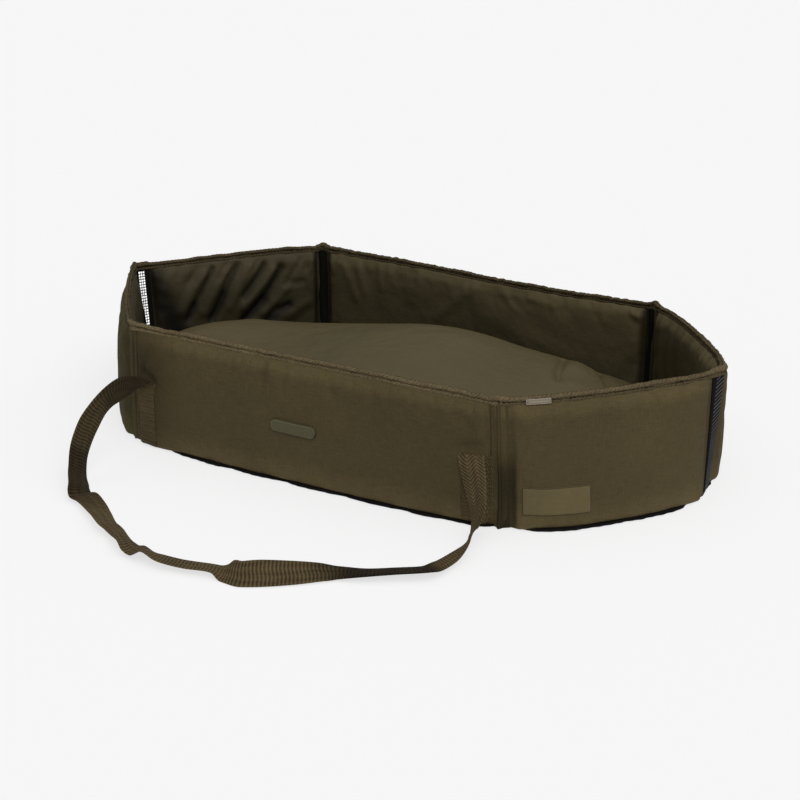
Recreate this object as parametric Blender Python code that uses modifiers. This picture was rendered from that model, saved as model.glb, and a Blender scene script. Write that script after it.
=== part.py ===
"""Crib-style unhooking mat for fishing, in metres, +Z up.

Six padded wall panels stand round a waterproof base. Each panel is a fabric sleeve over a foam board,
closed along the top by a folded tape. A thick cushion lies loose on the floor between them.
The panels fold at unpadded strips in the corners and close at the two tips with hook and loop tape.
A webbing handle hangs from two sewn bands on each long wall and lies on the ground.

The origin is on the ground under the middle of the base. +X points to the right tip, -Y to the front.
"""

import math
from collections import namedtuple

import bmesh
import bpy
from mathutils import Vector

# Overall sizes, measured between the middles of the wall tops
LENGTH = 1.0
WIDTH = 0.504
LONG_SIDE = 0.6
HEIGHT = 0.18

# Clearances
CLEAR = 0.0003
OVERRUN = 0.004

# Base, from the ground up
SHEET_THICK = 0.003
BASE_TAPE_WIDTH = 0.003
BASE_TAPE_LIP = 0.008
BASE_TAPE_SKIN = 0.0012
BASE_TIP_CUT = 0.016
BASE_END_MARGIN = 0.05
FLOOR_FOAM_THICK = 0.008
FLOOR_LINER_THICK = 0.0012
FLOOR_GAP = 0.002

# Wall panels
WALL_THICK = 0.022
SKIN = 0.001
FLAP_THICK = 0.004
CORNER_FLAP = 0.015
TIP_FLAP = 0.028
SHOULDER = 0.01
FOOT_RISE = 0.008
FOOT_SHARE = 0.85
PUFF_SHARE = 0.1
BOARD_CLEAR = 0.0007
CREASE_GAP = 0.0002
SHOULDER_CUT_SHARE = 0.3
LONG_BASE_BOW = 0.014
END_BASE_BOW = 0.008
FRONT_LEFT_BOW = 0.008
FRONT_RIGHT_BOW = 0.018
REAR_LEFT_BOW = 0.014
REAR_RIGHT_BOW = 0.016
BOW_POWER = 3
LONG_CUTS = 6
END_CUTS = 5
SEAM_CLEAR = 0.02

# Rim tape, corner tape and closures
RIM_DROP = 0.0105
RIM_SKIN = 0.0012
CORNER_TAPE_WIDTH = 0.013
CORNER_TAPE_DEPTH = 0.0105
CLOSURE_WIDTH = 0.023
CLOSURE_THICK = 0.0015
CLOSURE_EDGE = 0.002

# Webbing
WEB_WIDTH = 0.038
WEB_THICK = 0.0018
BAND_SPACING = 0.536
BAND_TOP = 0.098
HANDLE_REACH = 0.3
HANDLE_STEPS = 2

# Small sewn pieces
BADGE_LENGTH = 0.075
BADGE_HEIGHT = 0.018
BADGE_RADIUS = 0.007
BADGE_THICK = 0.0016
BADGE_MIDDLE = 0.2955
BADGE_LEVEL = 0.081
LABEL_LENGTH = 0.088
LABEL_HEIGHT = 0.0405
LABEL_START = 0.022
LABEL_LEVEL = 0.0365
LABEL_THICK = 0.0008
TAG_LENGTH = 0.031
TAG_HEIGHT = 0.009
TAG_START = 0.026
TAG_THICK = 0.0012

# Cushion
CUSHION_END_GAP = 0.048
CUSHION_SIDE_GAP = 0.024
CUSHION_CORNER_GAP = 0.015
CUSHION_TIP_WIDTH = 0.06
CUSHION_EDGE = 0.031
CUSHION_CROWN = 0.107
CUSHION_CROWN_SHARES = [0.94, 0.88, 0.7, 0.72, 0.85, 0.99, 1.0, 0.86, 0.79, 0.62, 0.6, 0.6]
CUSHION_ROUNDING = 0.15
CUSHION_TIP_ROUNDING = 0.03
CUSHION_DRAW_IN = 0.005
CUSHION_SIDE_ROUND = 0.008
CUSHION_SKIN = 0.0012
SLIT_LENGTH = 0.32
SLIT_WIDTH = 0.012
LONG_STATIONS = 14
CROSS_STATIONS = 10

# The handle's centre line from the left band top to the right one. Along: share of half the band spacing.
# Out: share of the reach. Up: share of the band top. Then the direction across the webbing.
HANDLE_ROUTE_SHARES = [
    (-1.00, 0.00, 1.00, 1.0, 0.0, 0.0),
    (-1.00, 0.02, 0.98, 1.0, 0.0, 0.2),
    (-1.00, 0.08, 0.97, 0.6, 0.0, 0.7),
    (-1.00, 0.16, 0.99, 0.3, -0.1, 0.9),
    (-0.99, 0.24, 0.98, 0.1, -0.4, 0.9),
    (-1.00, 0.31, 0.89, 0.0, -0.7, 0.7),
    (-1.01, 0.37, 0.73, -0.1, -0.8, 0.6),
    (-1.01, 0.43, 0.56, -0.1, -0.8, 0.6),
    (-0.98, 0.50, 0.40, -0.1, -0.8, 0.6),
    (-0.92, 0.57, 0.25, -0.1, -0.8, 0.55),
    (-0.84, 0.64, 0.14, 0.0, -0.9, 0.4),
    (-0.74, 0.70, 0.08, 0.1, -1.0, 0.2),
    (-0.63, 0.75, 0.05, 0.3, -1.0, 0.1),
    (-0.52, 0.80, 0.04, 0.4, -0.9, 0.1),
    (-0.41, 0.85, 0.04, 0.5, -0.9, 0.1),
    (-0.29, 0.91, 0.03, 0.6, -0.8, 0.1),
    (-0.18, 0.95, 0.05, 0.5, -0.8, 0.3),
    (-0.08, 0.97, 0.06, 0.5, -0.8, 0.25),
    (0.04, 0.97, 0.05, 0.6, -0.8, 0.2),
    (0.16, 0.95, 0.05, 0.6, -0.8, 0.15),
    (0.28, 0.93, 0.03, 0.6, -0.8, -0.05),
    (0.38, 0.93, 0.07, 0.6, -0.8, -0.35),
    (0.48, 0.90, 0.11, 0.5, -0.7, -0.55),
    (0.59, 0.83, 0.09, 0.5, -0.8, -0.4),
    (0.68, 0.75, 0.05, 0.6, -0.8, -0.2),
    (0.77, 0.69, 0.03, 0.5, -0.9, 0.0),
    (0.87, 0.64, 0.04, 0.5, -0.9, 0.15),
    (0.97, 0.57, 0.05, 0.5, -0.9, 0.2),
    (1.07, 0.49, 0.05, 0.5, -0.8, 0.2),
    (1.13, 0.38, 0.06, 0.5, -0.8, 0.25),
    (1.13, 0.27, 0.07, 0.5, -0.8, 0.3),
    (1.11, 0.17, 0.10, 0.5, -0.8, 0.35),
    (1.09, 0.10, 0.17, 0.65, -0.6, 0.45),
    (1.08, 0.07, 0.28, 0.8, -0.4, 0.4),
    (1.06, 0.04, 0.47, 0.9, -0.2, 0.3),
    (1.03, 0.02, 0.72, 1.0, -0.1, 0.2),
    (1.00, 0.00, 1.00, 1.0, 0.0, 0.0),
]

# Sizes worked out from the ones above
CORNER_TURN = math.atan2(WIDTH / 2, (LENGTH - LONG_SIDE) / 2)
END_SIDE = math.hypot(WIDTH / 2, (LENGTH - LONG_SIDE) / 2)
WALL_HALF = WALL_THICK / 2
FLAP_HALF = FLAP_THICK / 2
BASE_TOP = SHEET_THICK + CLEAR + BASE_TAPE_SKIN
WALL_BOTTOM = BASE_TOP + CLEAR
COVER_TOP = HEIGHT - RIM_SKIN - CLEAR
PAD_TOP = HEIGHT - RIM_DROP - CLEAR
FOAM_BOTTOM = SHEET_THICK + CLEAR
LINER_BOTTOM = FOAM_BOTTOM + FLOOR_FOAM_THICK + CLEAR
CUSHION_BOTTOM = LINER_BOTTOM + FLOOR_LINER_THICK + CLEAR
CUSHION_LENGTH = LENGTH - 2 * CUSHION_END_GAP
CUSHION_WIDTH = WIDTH - 2 * CUSHION_SIDE_GAP
CUSHION_LONG_SIDE = LONG_SIDE - 2 * CUSHION_CORNER_GAP

Panel = namedtuple("Panel", "name start along out length rim_bow base_bow tip us zs")


def eased(cuts, x, value):
    """The value at x, straight between the cuts and straight on beyond them."""
    high = next((k for k in range(1, len(cuts)) if x <= cuts[k]), len(cuts) - 1)
    a, b = cuts[high - 1], cuts[high]
    share = (x - a) / (b - a)
    return value(a) * (1 - share) + value(b) * share


def between(cuts, low, high):
    """The low and high ends, with the cuts that lie inside them."""
    return [low] + [c for c in cuts if low + CLEAR < c < high - CLEAR] + [high]


def spread(low, high, count):
    """Even steps from low to high, with count values strictly inside."""
    return [low + (high - low) * k / (count + 1) for k in range(count + 2)]


def with_seams(cuts, seams):
    """The cuts, with those near a seam replaced by the seam itself."""
    kept = [c for c in cuts if all(abs(c - s) > SEAM_CLEAR for s in seams)]
    return sorted(kept + seams)


def wall_levels(seam):
    """Heights at which a wall's surface bends: one of them is a seam."""
    foot, head = WALL_BOTTOM + FOOT_RISE, PAD_TOP - SHOULDER
    middle = [foot, (foot + seam) / 2, seam, (seam + head) / 2, head]
    top = [PAD_TOP - SHOULDER * SHOULDER_CUT_SHARE, PAD_TOP, COVER_TOP]
    return [WALL_BOTTOM] + middle + top


def wall_stations(length, end_flap, count, seams):
    """Places along a wall at which its surface bends, also at the edges of what is sewn on it."""
    first, last = CORNER_FLAP, length - end_flap
    cut = SHOULDER * SHOULDER_CUT_SHARE
    inner = [s for s in seams if first + SHOULDER < s < last - SHOULDER]
    middle = with_seams(spread(first + SHOULDER, last - SHOULDER, count), inner)
    outer = [s for s in seams if s < first or s > last]
    stations = [CREASE_GAP, first, first + cut] + middle + [last - cut, last, length - CREASE_GAP]
    return sorted(stations + outer)


def make_panel(name, start, end, rim_bow, tip):
    """A wall panel that stands on the line from start to end, seen from above."""
    start, end = Vector(start), Vector(end)
    along = (end - start).normalized()
    out = Vector((along.y, -along.x))
    if out.dot(start + end) < 0:
        out = -out
    length = (end - start).length
    if tip:
        seams = [LABEL_START, LABEL_START + LABEL_LENGTH, length - CLOSURE_EDGE - CLOSURE_WIDTH]
        stations = wall_stations(length, TIP_FLAP, END_CUTS, seams)
        return Panel(name, start, along, out, length, rim_bow, END_BASE_BOW, tip, stations,
                     wall_levels(LABEL_LEVEL + LABEL_HEIGHT / 2))
    middles = [(length + side * BAND_SPACING) / 2 for side in (-1, 1)]
    seams = [m + side * WEB_WIDTH / 2 for m in middles for side in (-1, 1)]
    stations = wall_stations(length, CORNER_FLAP, LONG_CUTS, seams)
    return Panel(name, start, along, out, length, rim_bow, LONG_BASE_BOW, tip, stations, wall_levels(BAND_TOP))


def make_panels():
    """The two long walls and the four end panels."""
    x, y, tip = LONG_SIDE / 2, WIDTH / 2, LENGTH / 2
    return {
        "front_wall": make_panel("front_wall", (-x, -y), (x, -y), 0, False),
        "rear_wall": make_panel("rear_wall", (-x, y), (x, y), 0, False),
        "front_left_end": make_panel("front_left_end", (-x, -y), (-tip, 0), FRONT_LEFT_BOW, True),
        "front_right_end": make_panel("front_right_end", (x, -y), (tip, 0), FRONT_RIGHT_BOW, True),
        "rear_left_end": make_panel("rear_left_end", (-x, y), (-tip, 0), REAR_LEFT_BOW, True),
        "rear_right_end": make_panel("rear_right_end", (x, y), (tip, 0), REAR_RIGHT_BOW, True),
    }


def bow(panel, u, z):
    """How far the panel's middle bends outwards, more at the ground than at the rim."""
    depth = panel.rim_bow + panel.base_bow * (1 - z / HEIGHT)
    return depth * eased(panel.us, u, lambda a: 1 - abs(2 * a / panel.length - 1) ** BOW_POWER)


def rounded(distance):
    """Share of the full padding at a distance inside the padding's edge."""
    if distance <= 0:
        return 0.0
    return math.sqrt(1 - (1 - min(distance / SHOULDER, 1)) ** 2)


def padding(panel, u, z):
    """Half the panel's thickness at one bend point of its surface."""
    last = panel.length - (TIP_FLAP if panel.tip else CORNER_FLAP)
    swell = rounded(min(u - CORNER_FLAP, last - u)) * rounded(PAD_TOP - z)
    foot = FOOT_SHARE + (1 - FOOT_SHARE) * min((z - WALL_BOTTOM) / FOOT_RISE, 1)
    puff = 1 + PUFF_SHARE * math.sin(math.pi * u / panel.length) * math.sin(math.pi * z / HEIGHT)
    return FLAP_HALF + (WALL_HALF * foot * puff - FLAP_HALF) * swell


def half_thick(panel, u, z):
    """Half the panel's thickness anywhere, flat between the bend points."""
    return eased(panel.us, u, lambda a: eased(panel.zs, z, lambda c: padding(panel, a, c)))


def locate(panel, u, n, z):
    """World place of a point at u along the panel, n outwards from its middle and height z."""
    near_start = max(1 - u / CORNER_FLAP, 0)
    near_end = max(1 - (panel.length - u) / CORNER_FLAP, 0)
    miter = max(-n, 0) * math.tan(CORNER_TURN / 2)
    if panel.tip:
        shift = miter * near_start - near_end * n * panel.out.y / panel.along.y
    else:
        shift = miter * (near_start - near_end)
    spot = panel.start + panel.along * (u + shift) + panel.out * (n + bow(panel, u, z))
    return Vector((spot.x, spot.y, z))


def fresh_scene():
    """Empty the file and make the collections for the parts and for the cutters."""
    for old in list(bpy.data.objects):
        bpy.data.objects.remove(old, do_unlink=True)
    groups = []
    for name in ("unhooking_mat", "cutters"):
        group = bpy.data.collections.new(name)
        bpy.context.scene.collection.children.link(group)
        groups.append(group)
    return groups


def finish(name, colour, roughness):
    """A plain Principled material."""
    material = bpy.data.materials.new(name)
    material.use_nodes = True
    shader = material.node_tree.nodes["Principled BSDF"]
    shader.inputs["Base Color"].default_value = (*colour, 1)
    shader.inputs["Roughness"].default_value = roughness
    shader.inputs["Metallic"].default_value = 0
    return material


def make_finishes():
    """The mat's materials by name."""
    return {
        "outer_fabric": finish("outer_fabric", (0.055, 0.045, 0.02), 0.75),
        "binding": finish("binding", (0.06, 0.045, 0.022), 0.8),
        "cushion_fabric": finish("cushion_fabric", (0.085, 0.075, 0.035), 0.6),
        "webbing": finish("webbing", (0.06, 0.047, 0.022), 0.7),
        "black_tape": finish("black_tape", (0.008, 0.008, 0.008), 0.8),
        "base_coating": finish("base_coating", (0.01, 0.01, 0.01), 0.45),
        "foam": finish("foam", (0.04, 0.04, 0.04), 0.9),
        "badge_rubber": finish("badge_rubber", (0.07, 0.055, 0.03), 0.5),
        "label_print": finish("label_print", (0.13, 0.1, 0.045), 0.6),
        "tag_fabric": finish("tag_fabric", (0.6, 0.58, 0.54), 0.7),
    }


def add_object(name, bm, group, material=None):
    """Turn a bmesh into a named object with outward faces."""
    bmesh.ops.recalc_face_normals(bm, faces=bm.faces)
    if bm.calc_volume(signed=True) < 0:
        bmesh.ops.reverse_faces(bm, faces=bm.faces)
    mesh = bpy.data.meshes.new(name)
    bm.to_mesh(mesh)
    bm.free()
    obj = bpy.data.objects.new(name, mesh)
    group.objects.link(obj)
    if material:
        mesh.materials.append(material)
    return obj


def block(name, xs, ys, zs, place, group, material=None):
    """A box cut at the given stations, with every corner then moved by place(x, y, z)."""
    bm = bmesh.new()
    bmesh.ops.create_cube(bm, size=1)
    spans = [(v[0], v[-1]) for v in (xs, ys, zs)]
    for vert in bm.verts:
        vert.co = [low if c < 0 else high for c, (low, high) in zip(vert.co, spans)]
    for axis, cuts in enumerate((xs, ys, zs)):
        normal = Vector((axis == 0, axis == 1, axis == 2))
        for cut in cuts[1:-1]:
            geometry = bm.verts[:] + bm.edges[:] + bm.faces[:]
            bmesh.ops.bisect_plane(bm, geom=geometry, plane_co=normal * cut, plane_no=normal)
    for face in bm.faces[:]:
        corners = sorted(face.verts, key=lambda v: sum(v.co))
        bmesh.utils.face_split(face, corners[0], corners[-1])
    for vert in bm.verts:
        vert.co = place(*vert.co)
    return add_object(name, bm, group, material)


def prism(name, outline, low, high, group, material=None):
    """A flat outline, seen from above, raised from one height to another."""
    bm = bmesh.new()
    bmesh.ops.create_circle(bm, cap_ends=True, segments=len(outline), radius=LENGTH)
    bm.verts.ensure_lookup_table()
    for vert, (x, y) in zip(bm.verts, outline):
        vert.co = (x, y, low)
    raised = bmesh.ops.extrude_face_region(bm, geom=bm.faces[:])["geom"]
    for part in raised:
        if isinstance(part, bmesh.types.BMVert):
            part.co.z = high
    return add_object(name, bm, group, material)


def cut(target, tool):
    """Take the tool's shape out of the target."""
    tool.hide_render = True
    tool.display_type = "WIRE"
    modifier = target.modifiers.new("cut_" + tool.name, "BOOLEAN")
    modifier.operation = "DIFFERENCE"
    modifier.object = tool


def corner_direction(panel_a, panel_b):
    """The level direction that points outwards between two panels."""
    return (panel_a.out + panel_b.out).normalized()


def base_outline(panels, offset):
    """The base's outline, at a distance outside the middles of the walls."""
    points = []
    ends = {}
    for name, side in (("front", -1), ("rear", 1)):
        wall = panels[name + "_wall"]
        left, right = panels[name + "_left_end"], panels[name + "_right_end"]
        chain = [locate(left, u, offset, 0).xy for u in reversed(base_stations(left))]
        chain.append(base_corner(left, wall, offset))
        chain += [locate(wall, u, offset, 0).xy for u in base_stations(wall)]
        chain.append(base_corner(right, wall, offset))
        chain += [locate(right, u, offset, 0).xy for u in base_stations(right)]
        ends[side] = chain
    tip = LENGTH / 2 - BASE_TIP_CUT + offset
    points += ends[-1]
    points.append(Vector((tip, 0)))
    points += reversed(ends[1])
    points.append(Vector((-tip, 0)))
    return points


def base_stations(panel):
    """Places along a panel that the base's outline follows."""
    last = panel.length - (BASE_END_MARGIN if panel.tip else CORNER_FLAP + SHOULDER)
    return [u for u in panel.us if CORNER_FLAP + SHOULDER - CLEAR < u < last + CLEAR]


def base_corner(end, wall, offset):
    """The base's corner outside or inside the crease between a wall and an end panel."""
    outwards = corner_direction(end, wall)
    return end.start + outwards * offset / math.cos(CORNER_TURN / 2)


def make_base(panels, group, cutters, finishes):
    """Waterproof sheet with its edge tape, floor foam and liner."""
    edge = WALL_HALF
    inside = edge - BASE_TAPE_WIDTH
    sheet = base_outline(panels, inside - CLEAR)
    prism("base_sheet", sheet, 0, SHEET_THICK, group, finishes["base_coating"])
    tape = prism("base_binding", base_outline(panels, edge), 0, BASE_TOP, group, finishes["black_tape"])
    low = prism("base_sheet_seat", base_outline(panels, inside), -OVERRUN, FOAM_BOTTOM, cutters)
    lip = prism("base_lip_hole", base_outline(panels, edge - BASE_TAPE_LIP), 0, BASE_TOP + OVERRUN, cutters)
    cut(tape, low)
    cut(tape, lip)
    floor = base_outline(panels, -WALL_HALF - FLOOR_GAP)
    prism("base_foam", floor, FOAM_BOTTOM, FOAM_BOTTOM + FLOOR_FOAM_THICK, group, finishes["foam"])
    top = LINER_BOTTOM + FLOOR_LINER_THICK
    prism("floor_liner", floor, LINER_BOTTOM, top, group, finishes["outer_fabric"])


def make_cover(panel, group, cutters, material):
    """The sleeve: padded outside form with flat flaps, hollow inside and open along the top."""

    def outside(u, side, z):
        return locate(panel, u, side * half_thick(panel, u, z), z)

    def inside(u, side, z):
        return locate(panel, u, side * (half_thick(panel, u, z) - SKIN), z)

    us, zs = panel.us, panel.zs
    cover = block(panel.name + "_cover", us, (-1, 1), zs, outside, group, material)
    hollow_us = [us[1] + SKIN] + us[2:-2] + [us[-2] - SKIN]
    hollow_zs = [zs[0] + SKIN] + zs[1:-1] + [zs[-1] + OVERRUN]
    cut(cover, block(panel.name + "_hollow", hollow_us, (-1, 1), hollow_zs, inside, cutters))


def make_board(panel, group, material):
    """The foam board inside a sleeve."""

    def place(u, side, z):
        return locate(panel, u, side * (half_thick(panel, u, z) - SKIN - BOARD_CLEAR), z)

    levels = [panel.zs[0] + SKIN + CLEAR] + panel.zs[1:-2]
    block(panel.name + "_board", panel.us[2:-2], (-1, 1), levels, place, group, material)


def make_rim(panel, group, cutters, material):
    """Tape folded over the top of the sleeve."""
    inner = FLAP_HALF + CLEAR
    outer = inner + RIM_SKIN
    low = HEIGHT - RIM_DROP

    def outside(u, side, z):
        return locate(panel, u, side * outer, z)

    def inside(u, side, z):
        return locate(panel, u, side * inner, z)

    keep = between(panel.us, panel.us[0], panel.us[-1])
    rim = block(panel.name + "_binding", keep, (-1, 1), (low, HEIGHT), outside, group, material)
    wide = [keep[0] - OVERRUN] + keep[1:-1] + [keep[-1] + OVERRUN]
    groove = (low - OVERRUN, HEIGHT - RIM_SKIN)
    cut(rim, block(panel.name + "_groove", wide, (-1, 1), groove, inside, cutters))


def make_patch(name, panel, span, levels, thick, side, group, material, shape=None):
    """A flat piece sewn on a panel's face: side 1 is outside, -1 is inside."""

    def place(u, layer, z):
        height = shape(u, z) if shape else z
        lift = CLEAR + thick if layer > 0 else CLEAR
        return locate(panel, u, side * (half_thick(panel, u, height) + lift), height)

    us = between(panel.us, *span)
    if shape:
        us = sorted(set(us + [span[0] + BADGE_RADIUS / 3, span[0] + BADGE_RADIUS]
                        + [span[1] - BADGE_RADIUS / 3, span[1] - BADGE_RADIUS]))
    zs = between(panel.zs, *levels)
    return block(name, us, (-1, 1), zs, place, group, material)


def badge_level(u, z):
    """Heights drawn together at the badge's rounded ends."""
    start, end = BADGE_MIDDLE - BADGE_LENGTH / 2, BADGE_MIDDLE + BADGE_LENGTH / 2
    inside = max(min(u - start, end - u, BADGE_RADIUS), 0)
    drop = BADGE_RADIUS - math.sqrt(BADGE_RADIUS ** 2 - (BADGE_RADIUS - inside) ** 2)
    return BADGE_LEVEL + (z - BADGE_LEVEL) * (1 - drop / (BADGE_HEIGHT / 2))


def make_corner_tape(name, end, wall, group, material):
    """Black bound seam that fills the groove inside a corner."""
    inwards = -corner_direction(end, wall)
    across = Vector((inwards.y, -inwards.x))
    half, deep = CORNER_TAPE_WIDTH / 2, CORNER_TAPE_DEPTH
    back = FLAP_HALF / math.cos(CORNER_TURN / 2) + CLEAR
    flare = back + CLEAR + half * math.tan(CORNER_TURN / 2)
    profile = [(0, back), (half, flare), (half, deep - half / 3), (half / 2, deep), (-half / 2, deep),
               (-half, deep - half / 3), (-half, flare)]
    outline = [end.start + across * a + inwards * d for a, d in profile]
    prism(name, outline, WALL_BOTTOM, HEIGHT - RIM_DROP - CLEAR, group, material)


def make_walls(panels, group, cutters, finishes):
    """Covers, boards and rim tapes of all six panels, with the corner tapes."""
    for panel in panels.values():
        make_cover(panel, group, cutters, finishes["outer_fabric"])
        make_board(panel, group, finishes["foam"])
        make_rim(panel, group, cutters, finishes["binding"])
    for row in ("front", "rear"):
        for hand in ("left", "right"):
            end, wall = panels[f"{row}_{hand}_end"], panels[row + "_wall"]
            make_corner_tape(f"{row}_{hand}_corner_tape", end, wall, group, finishes["black_tape"])


def make_closures(panels, group, finishes):
    """Loop tape outside the front tips and hook tape inside the rear ones."""
    levels = (WALL_BOTTOM + CLOSURE_EDGE, HEIGHT - RIM_DROP - CLOSURE_EDGE)
    for row, kind, side in (("front", "loop", 1), ("rear", "hook", -1)):
        for hand in ("left", "right"):
            panel = panels[f"{row}_{hand}_end"]
            end = panel.length - CLOSURE_EDGE
            span = (end - CLOSURE_WIDTH, end)
            name = f"{row}_{hand}_{kind}_tape"
            make_patch(name, panel, span, levels, CLOSURE_THICK, side, group, finishes["black_tape"])


def make_small_pieces(panels, group, finishes):
    """Bare badge on the front wall, bare label and folded tag on the front right panel."""
    wall, end = panels["front_wall"], panels["front_right_end"]
    span = (BADGE_MIDDLE - BADGE_LENGTH / 2, BADGE_MIDDLE + BADGE_LENGTH / 2)
    levels = (BADGE_LEVEL - BADGE_HEIGHT / 2, BADGE_LEVEL + BADGE_HEIGHT / 2)
    make_patch("front_badge", wall, span, levels, BADGE_THICK, 1, group, finishes["badge_rubber"], badge_level)
    span = (LABEL_START, LABEL_START + LABEL_LENGTH)
    levels = (LABEL_LEVEL - LABEL_HEIGHT / 2, LABEL_LEVEL + LABEL_HEIGHT / 2)
    make_patch("care_label", end, span, levels, LABEL_THICK, 1, group, finishes["label_print"])
    span = (TAG_START, TAG_START + TAG_LENGTH)
    top = HEIGHT - RIM_DROP - CLEAR
    make_patch("size_tag", end, span, (top - TAG_HEIGHT, top), TAG_THICK, 1, group, finishes["tag_fabric"])


def make_bands(panels, group, material):
    """Webbing sewn flat up each long wall, under the handle's ends."""
    for row in ("front", "rear"):
        wall = panels[row + "_wall"]
        for hand, sign in (("left", -1), ("right", 1)):
            middle = wall.length / 2 + sign * BAND_SPACING / 2
            span = (middle - WEB_WIDTH / 2, middle + WEB_WIDTH / 2)
            levels = (WALL_BOTTOM + CLEAR, BAND_TOP)
            make_patch(f"{row}_band_{hand}", wall, span, levels, WEB_THICK, 1, group, material)


def handle_root(wall):
    """How far out from the long wall's line the handle's ends are sewn."""
    inner_edge = wall.length / 2 + BAND_SPACING / 2 - WEB_WIDTH / 2
    face = half_thick(wall, inner_edge, BAND_TOP) + bow(wall, inner_edge, BAND_TOP)
    return WIDTH / 2 + face + CLEAR + WEB_THICK + CLEAR + WEB_THICK / 2 + CLEAR


def smooth(rows, index, share):
    """A point on the smooth curve through the rows, between row index and the next."""
    last = len(rows) - 1
    before, here = rows[max(index - 1, 0)], rows[index]
    there, after = rows[min(index + 1, last)], rows[min(index + 2, last)]
    mixed = []
    for p, a, b, q in zip(before, here, there, after):
        mixed.append(
            a + share / 2 * ((b - p) + share * ((2 * p - 5 * a + 4 * b - q) + share * (3 * (a - b) + q - p)))
        )
    return mixed


def handle_edges(root, side):
    """The two edges of a handle, as rows of points, kept on or above the ground."""
    edges = []
    last = len(HANDLE_ROUTE_SHARES) - 1
    for step in range(last * HANDLE_STEPS + 1):
        index, part = divmod(step, HANDLE_STEPS)
        x, y, z, *across = smooth(HANDLE_ROUTE_SHARES, index, part / HANDLE_STEPS)
        centre = Vector((x * BAND_SPACING / 2, side * (root + y * HANDLE_REACH), z * BAND_TOP))
        reach = Vector((across[0], -side * across[1], across[2])).normalized() * WEB_WIDTH / 2
        lowest = centre.z - abs(reach.z) - WEB_THICK / 2
        centre.z += max(CLEAR / 2 - lowest, 0)
        edges.append((centre - reach, centre + reach))
    return edges


def make_handle(name, wall, side, group, material):
    """A webbing strap from band top to band top, lying on the ground between them."""
    edges = handle_edges(handle_root(wall), side)
    bm = bmesh.new()
    bmesh.ops.create_grid(bm, x_segments=1, y_segments=len(edges) - 1, size=1)
    rows = sorted(bm.verts, key=lambda v: (round(v.co.y, 5), v.co.x))
    for k, (left, right) in enumerate(edges):
        rows[2 * k].co = left
        rows[2 * k + 1].co = right
    obj = add_object(name, bm, group, material)
    thicken = obj.modifiers.new("webbing", "SOLIDIFY")
    thicken.thickness = WEB_THICK
    thicken.offset = 0
    thicken.use_even_offset = True


def cushion_half_width(x, shrink):
    """Half the cushion's width at a place along it, with the sides drawn in between the corners."""
    corner, tip = CUSHION_LONG_SIDE / 2, CUSHION_LENGTH / 2
    full, small = CUSHION_WIDTH / 2, CUSHION_TIP_WIDTH / 2
    if abs(x) <= corner:
        half = full - CUSHION_DRAW_IN * (1 - (x / corner) ** 2)
    else:
        share = (abs(x) - corner) / (tip - corner)
        half = full + (small - full) * share - CUSHION_DRAW_IN * math.sin(math.pi * share)
    return half - shrink


def swelling(distance, reach):
    """Share of the full height at a distance inside an edge, like a quarter circle."""
    return math.sqrt(1 - (1 - min(max(distance / reach, 0), 1)) ** 2)


def cushion_height(x, y):
    """Height of the cushion's top above its seam, highest along the middle and thin at the corners."""
    corner, tip = CUSHION_LONG_SIDE / 2, CUSHION_LENGTH / 2
    full, small = CUSHION_WIDTH / 2, CUSHION_TIP_WIDTH / 2
    slant = Vector((full - small, tip - corner)).normalized()
    fullness = swelling(full - abs(y), CUSHION_ROUNDING) * swelling(tip - abs(x), CUSHION_TIP_ROUNDING)
    for a in (x, -x):
        for b in (y, -y):
            inside = slant.dot(Vector((corner - a, full - b)))
            fullness *= swelling(inside, CUSHION_ROUNDING)
    last = len(CUSHION_CROWN_SHARES) - 1
    place = (x / CUSHION_LENGTH + 1 / 2) * last
    index = min(max(int(place), 0), last - 1)
    low, high = CUSHION_CROWN_SHARES[index:index + 2]
    crown = CUSHION_CROWN * (low + (high - low) * (place - index))
    return (crown - CUSHION_EDGE) * fullness


def cushion_place(shrink):
    """Where the cushion's grid points go, on its outside or a skin's thickness within."""

    def place(s, t, level):
        pulled = 1 - CUSHION_SIDE_ROUND / (CUSHION_WIDTH / 2) * (2 * level - 1) ** 2
        x = s * (CUSHION_LENGTH / 2 - shrink)
        y = t * cushion_half_width(x, shrink)
        low = CUSHION_BOTTOM + shrink
        edge = CUSHION_BOTTOM + CUSHION_EDGE - shrink
        z = low + (edge - low) * level
        if level == 1:
            z += cushion_height(x, y)
        return Vector((x * pulled, y * pulled, z))

    return place


def bunched(count):
    """Values from -1 to 1 that lie closer near the ends."""
    return [math.sin(math.pi / 2 * (2 * k / count - 1)) for k in range(count + 1)]


def make_cushion(group, cutters, finishes):
    """Crowned cover with a slit underneath, its soft core and the strip that closes the slit."""
    grid = (bunched(LONG_STATIONS), bunched(CROSS_STATIONS), (0, 0.5, 1))
    cover = block("cushion_cover", *grid, cushion_place(0), group, finishes["cushion_fabric"])
    cut(cover, block("cushion_hollow", *grid, cushion_place(CUSHION_SKIN), cutters))
    x, y = SLIT_LENGTH / 2, SLIT_WIDTH / 2
    skin_top = CUSHION_BOTTOM + CUSHION_SKIN
    outline = [(-x, -y), (x, -y), (x, y), (-x, y)]
    cut(cover, prism("cushion_slit", outline, CUSHION_BOTTOM - OVERRUN, skin_top + CLEAR, cutters))
    small = [(a - math.copysign(CLEAR, a), b - math.copysign(CLEAR, b)) for a, b in outline]
    prism("cushion_closure", small, CUSHION_BOTTOM, skin_top, group, finishes["black_tape"])
    inner = cushion_place(CUSHION_SKIN + BOARD_CLEAR)
    block("cushion_core", *grid, inner, group, finishes["foam"])


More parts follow.
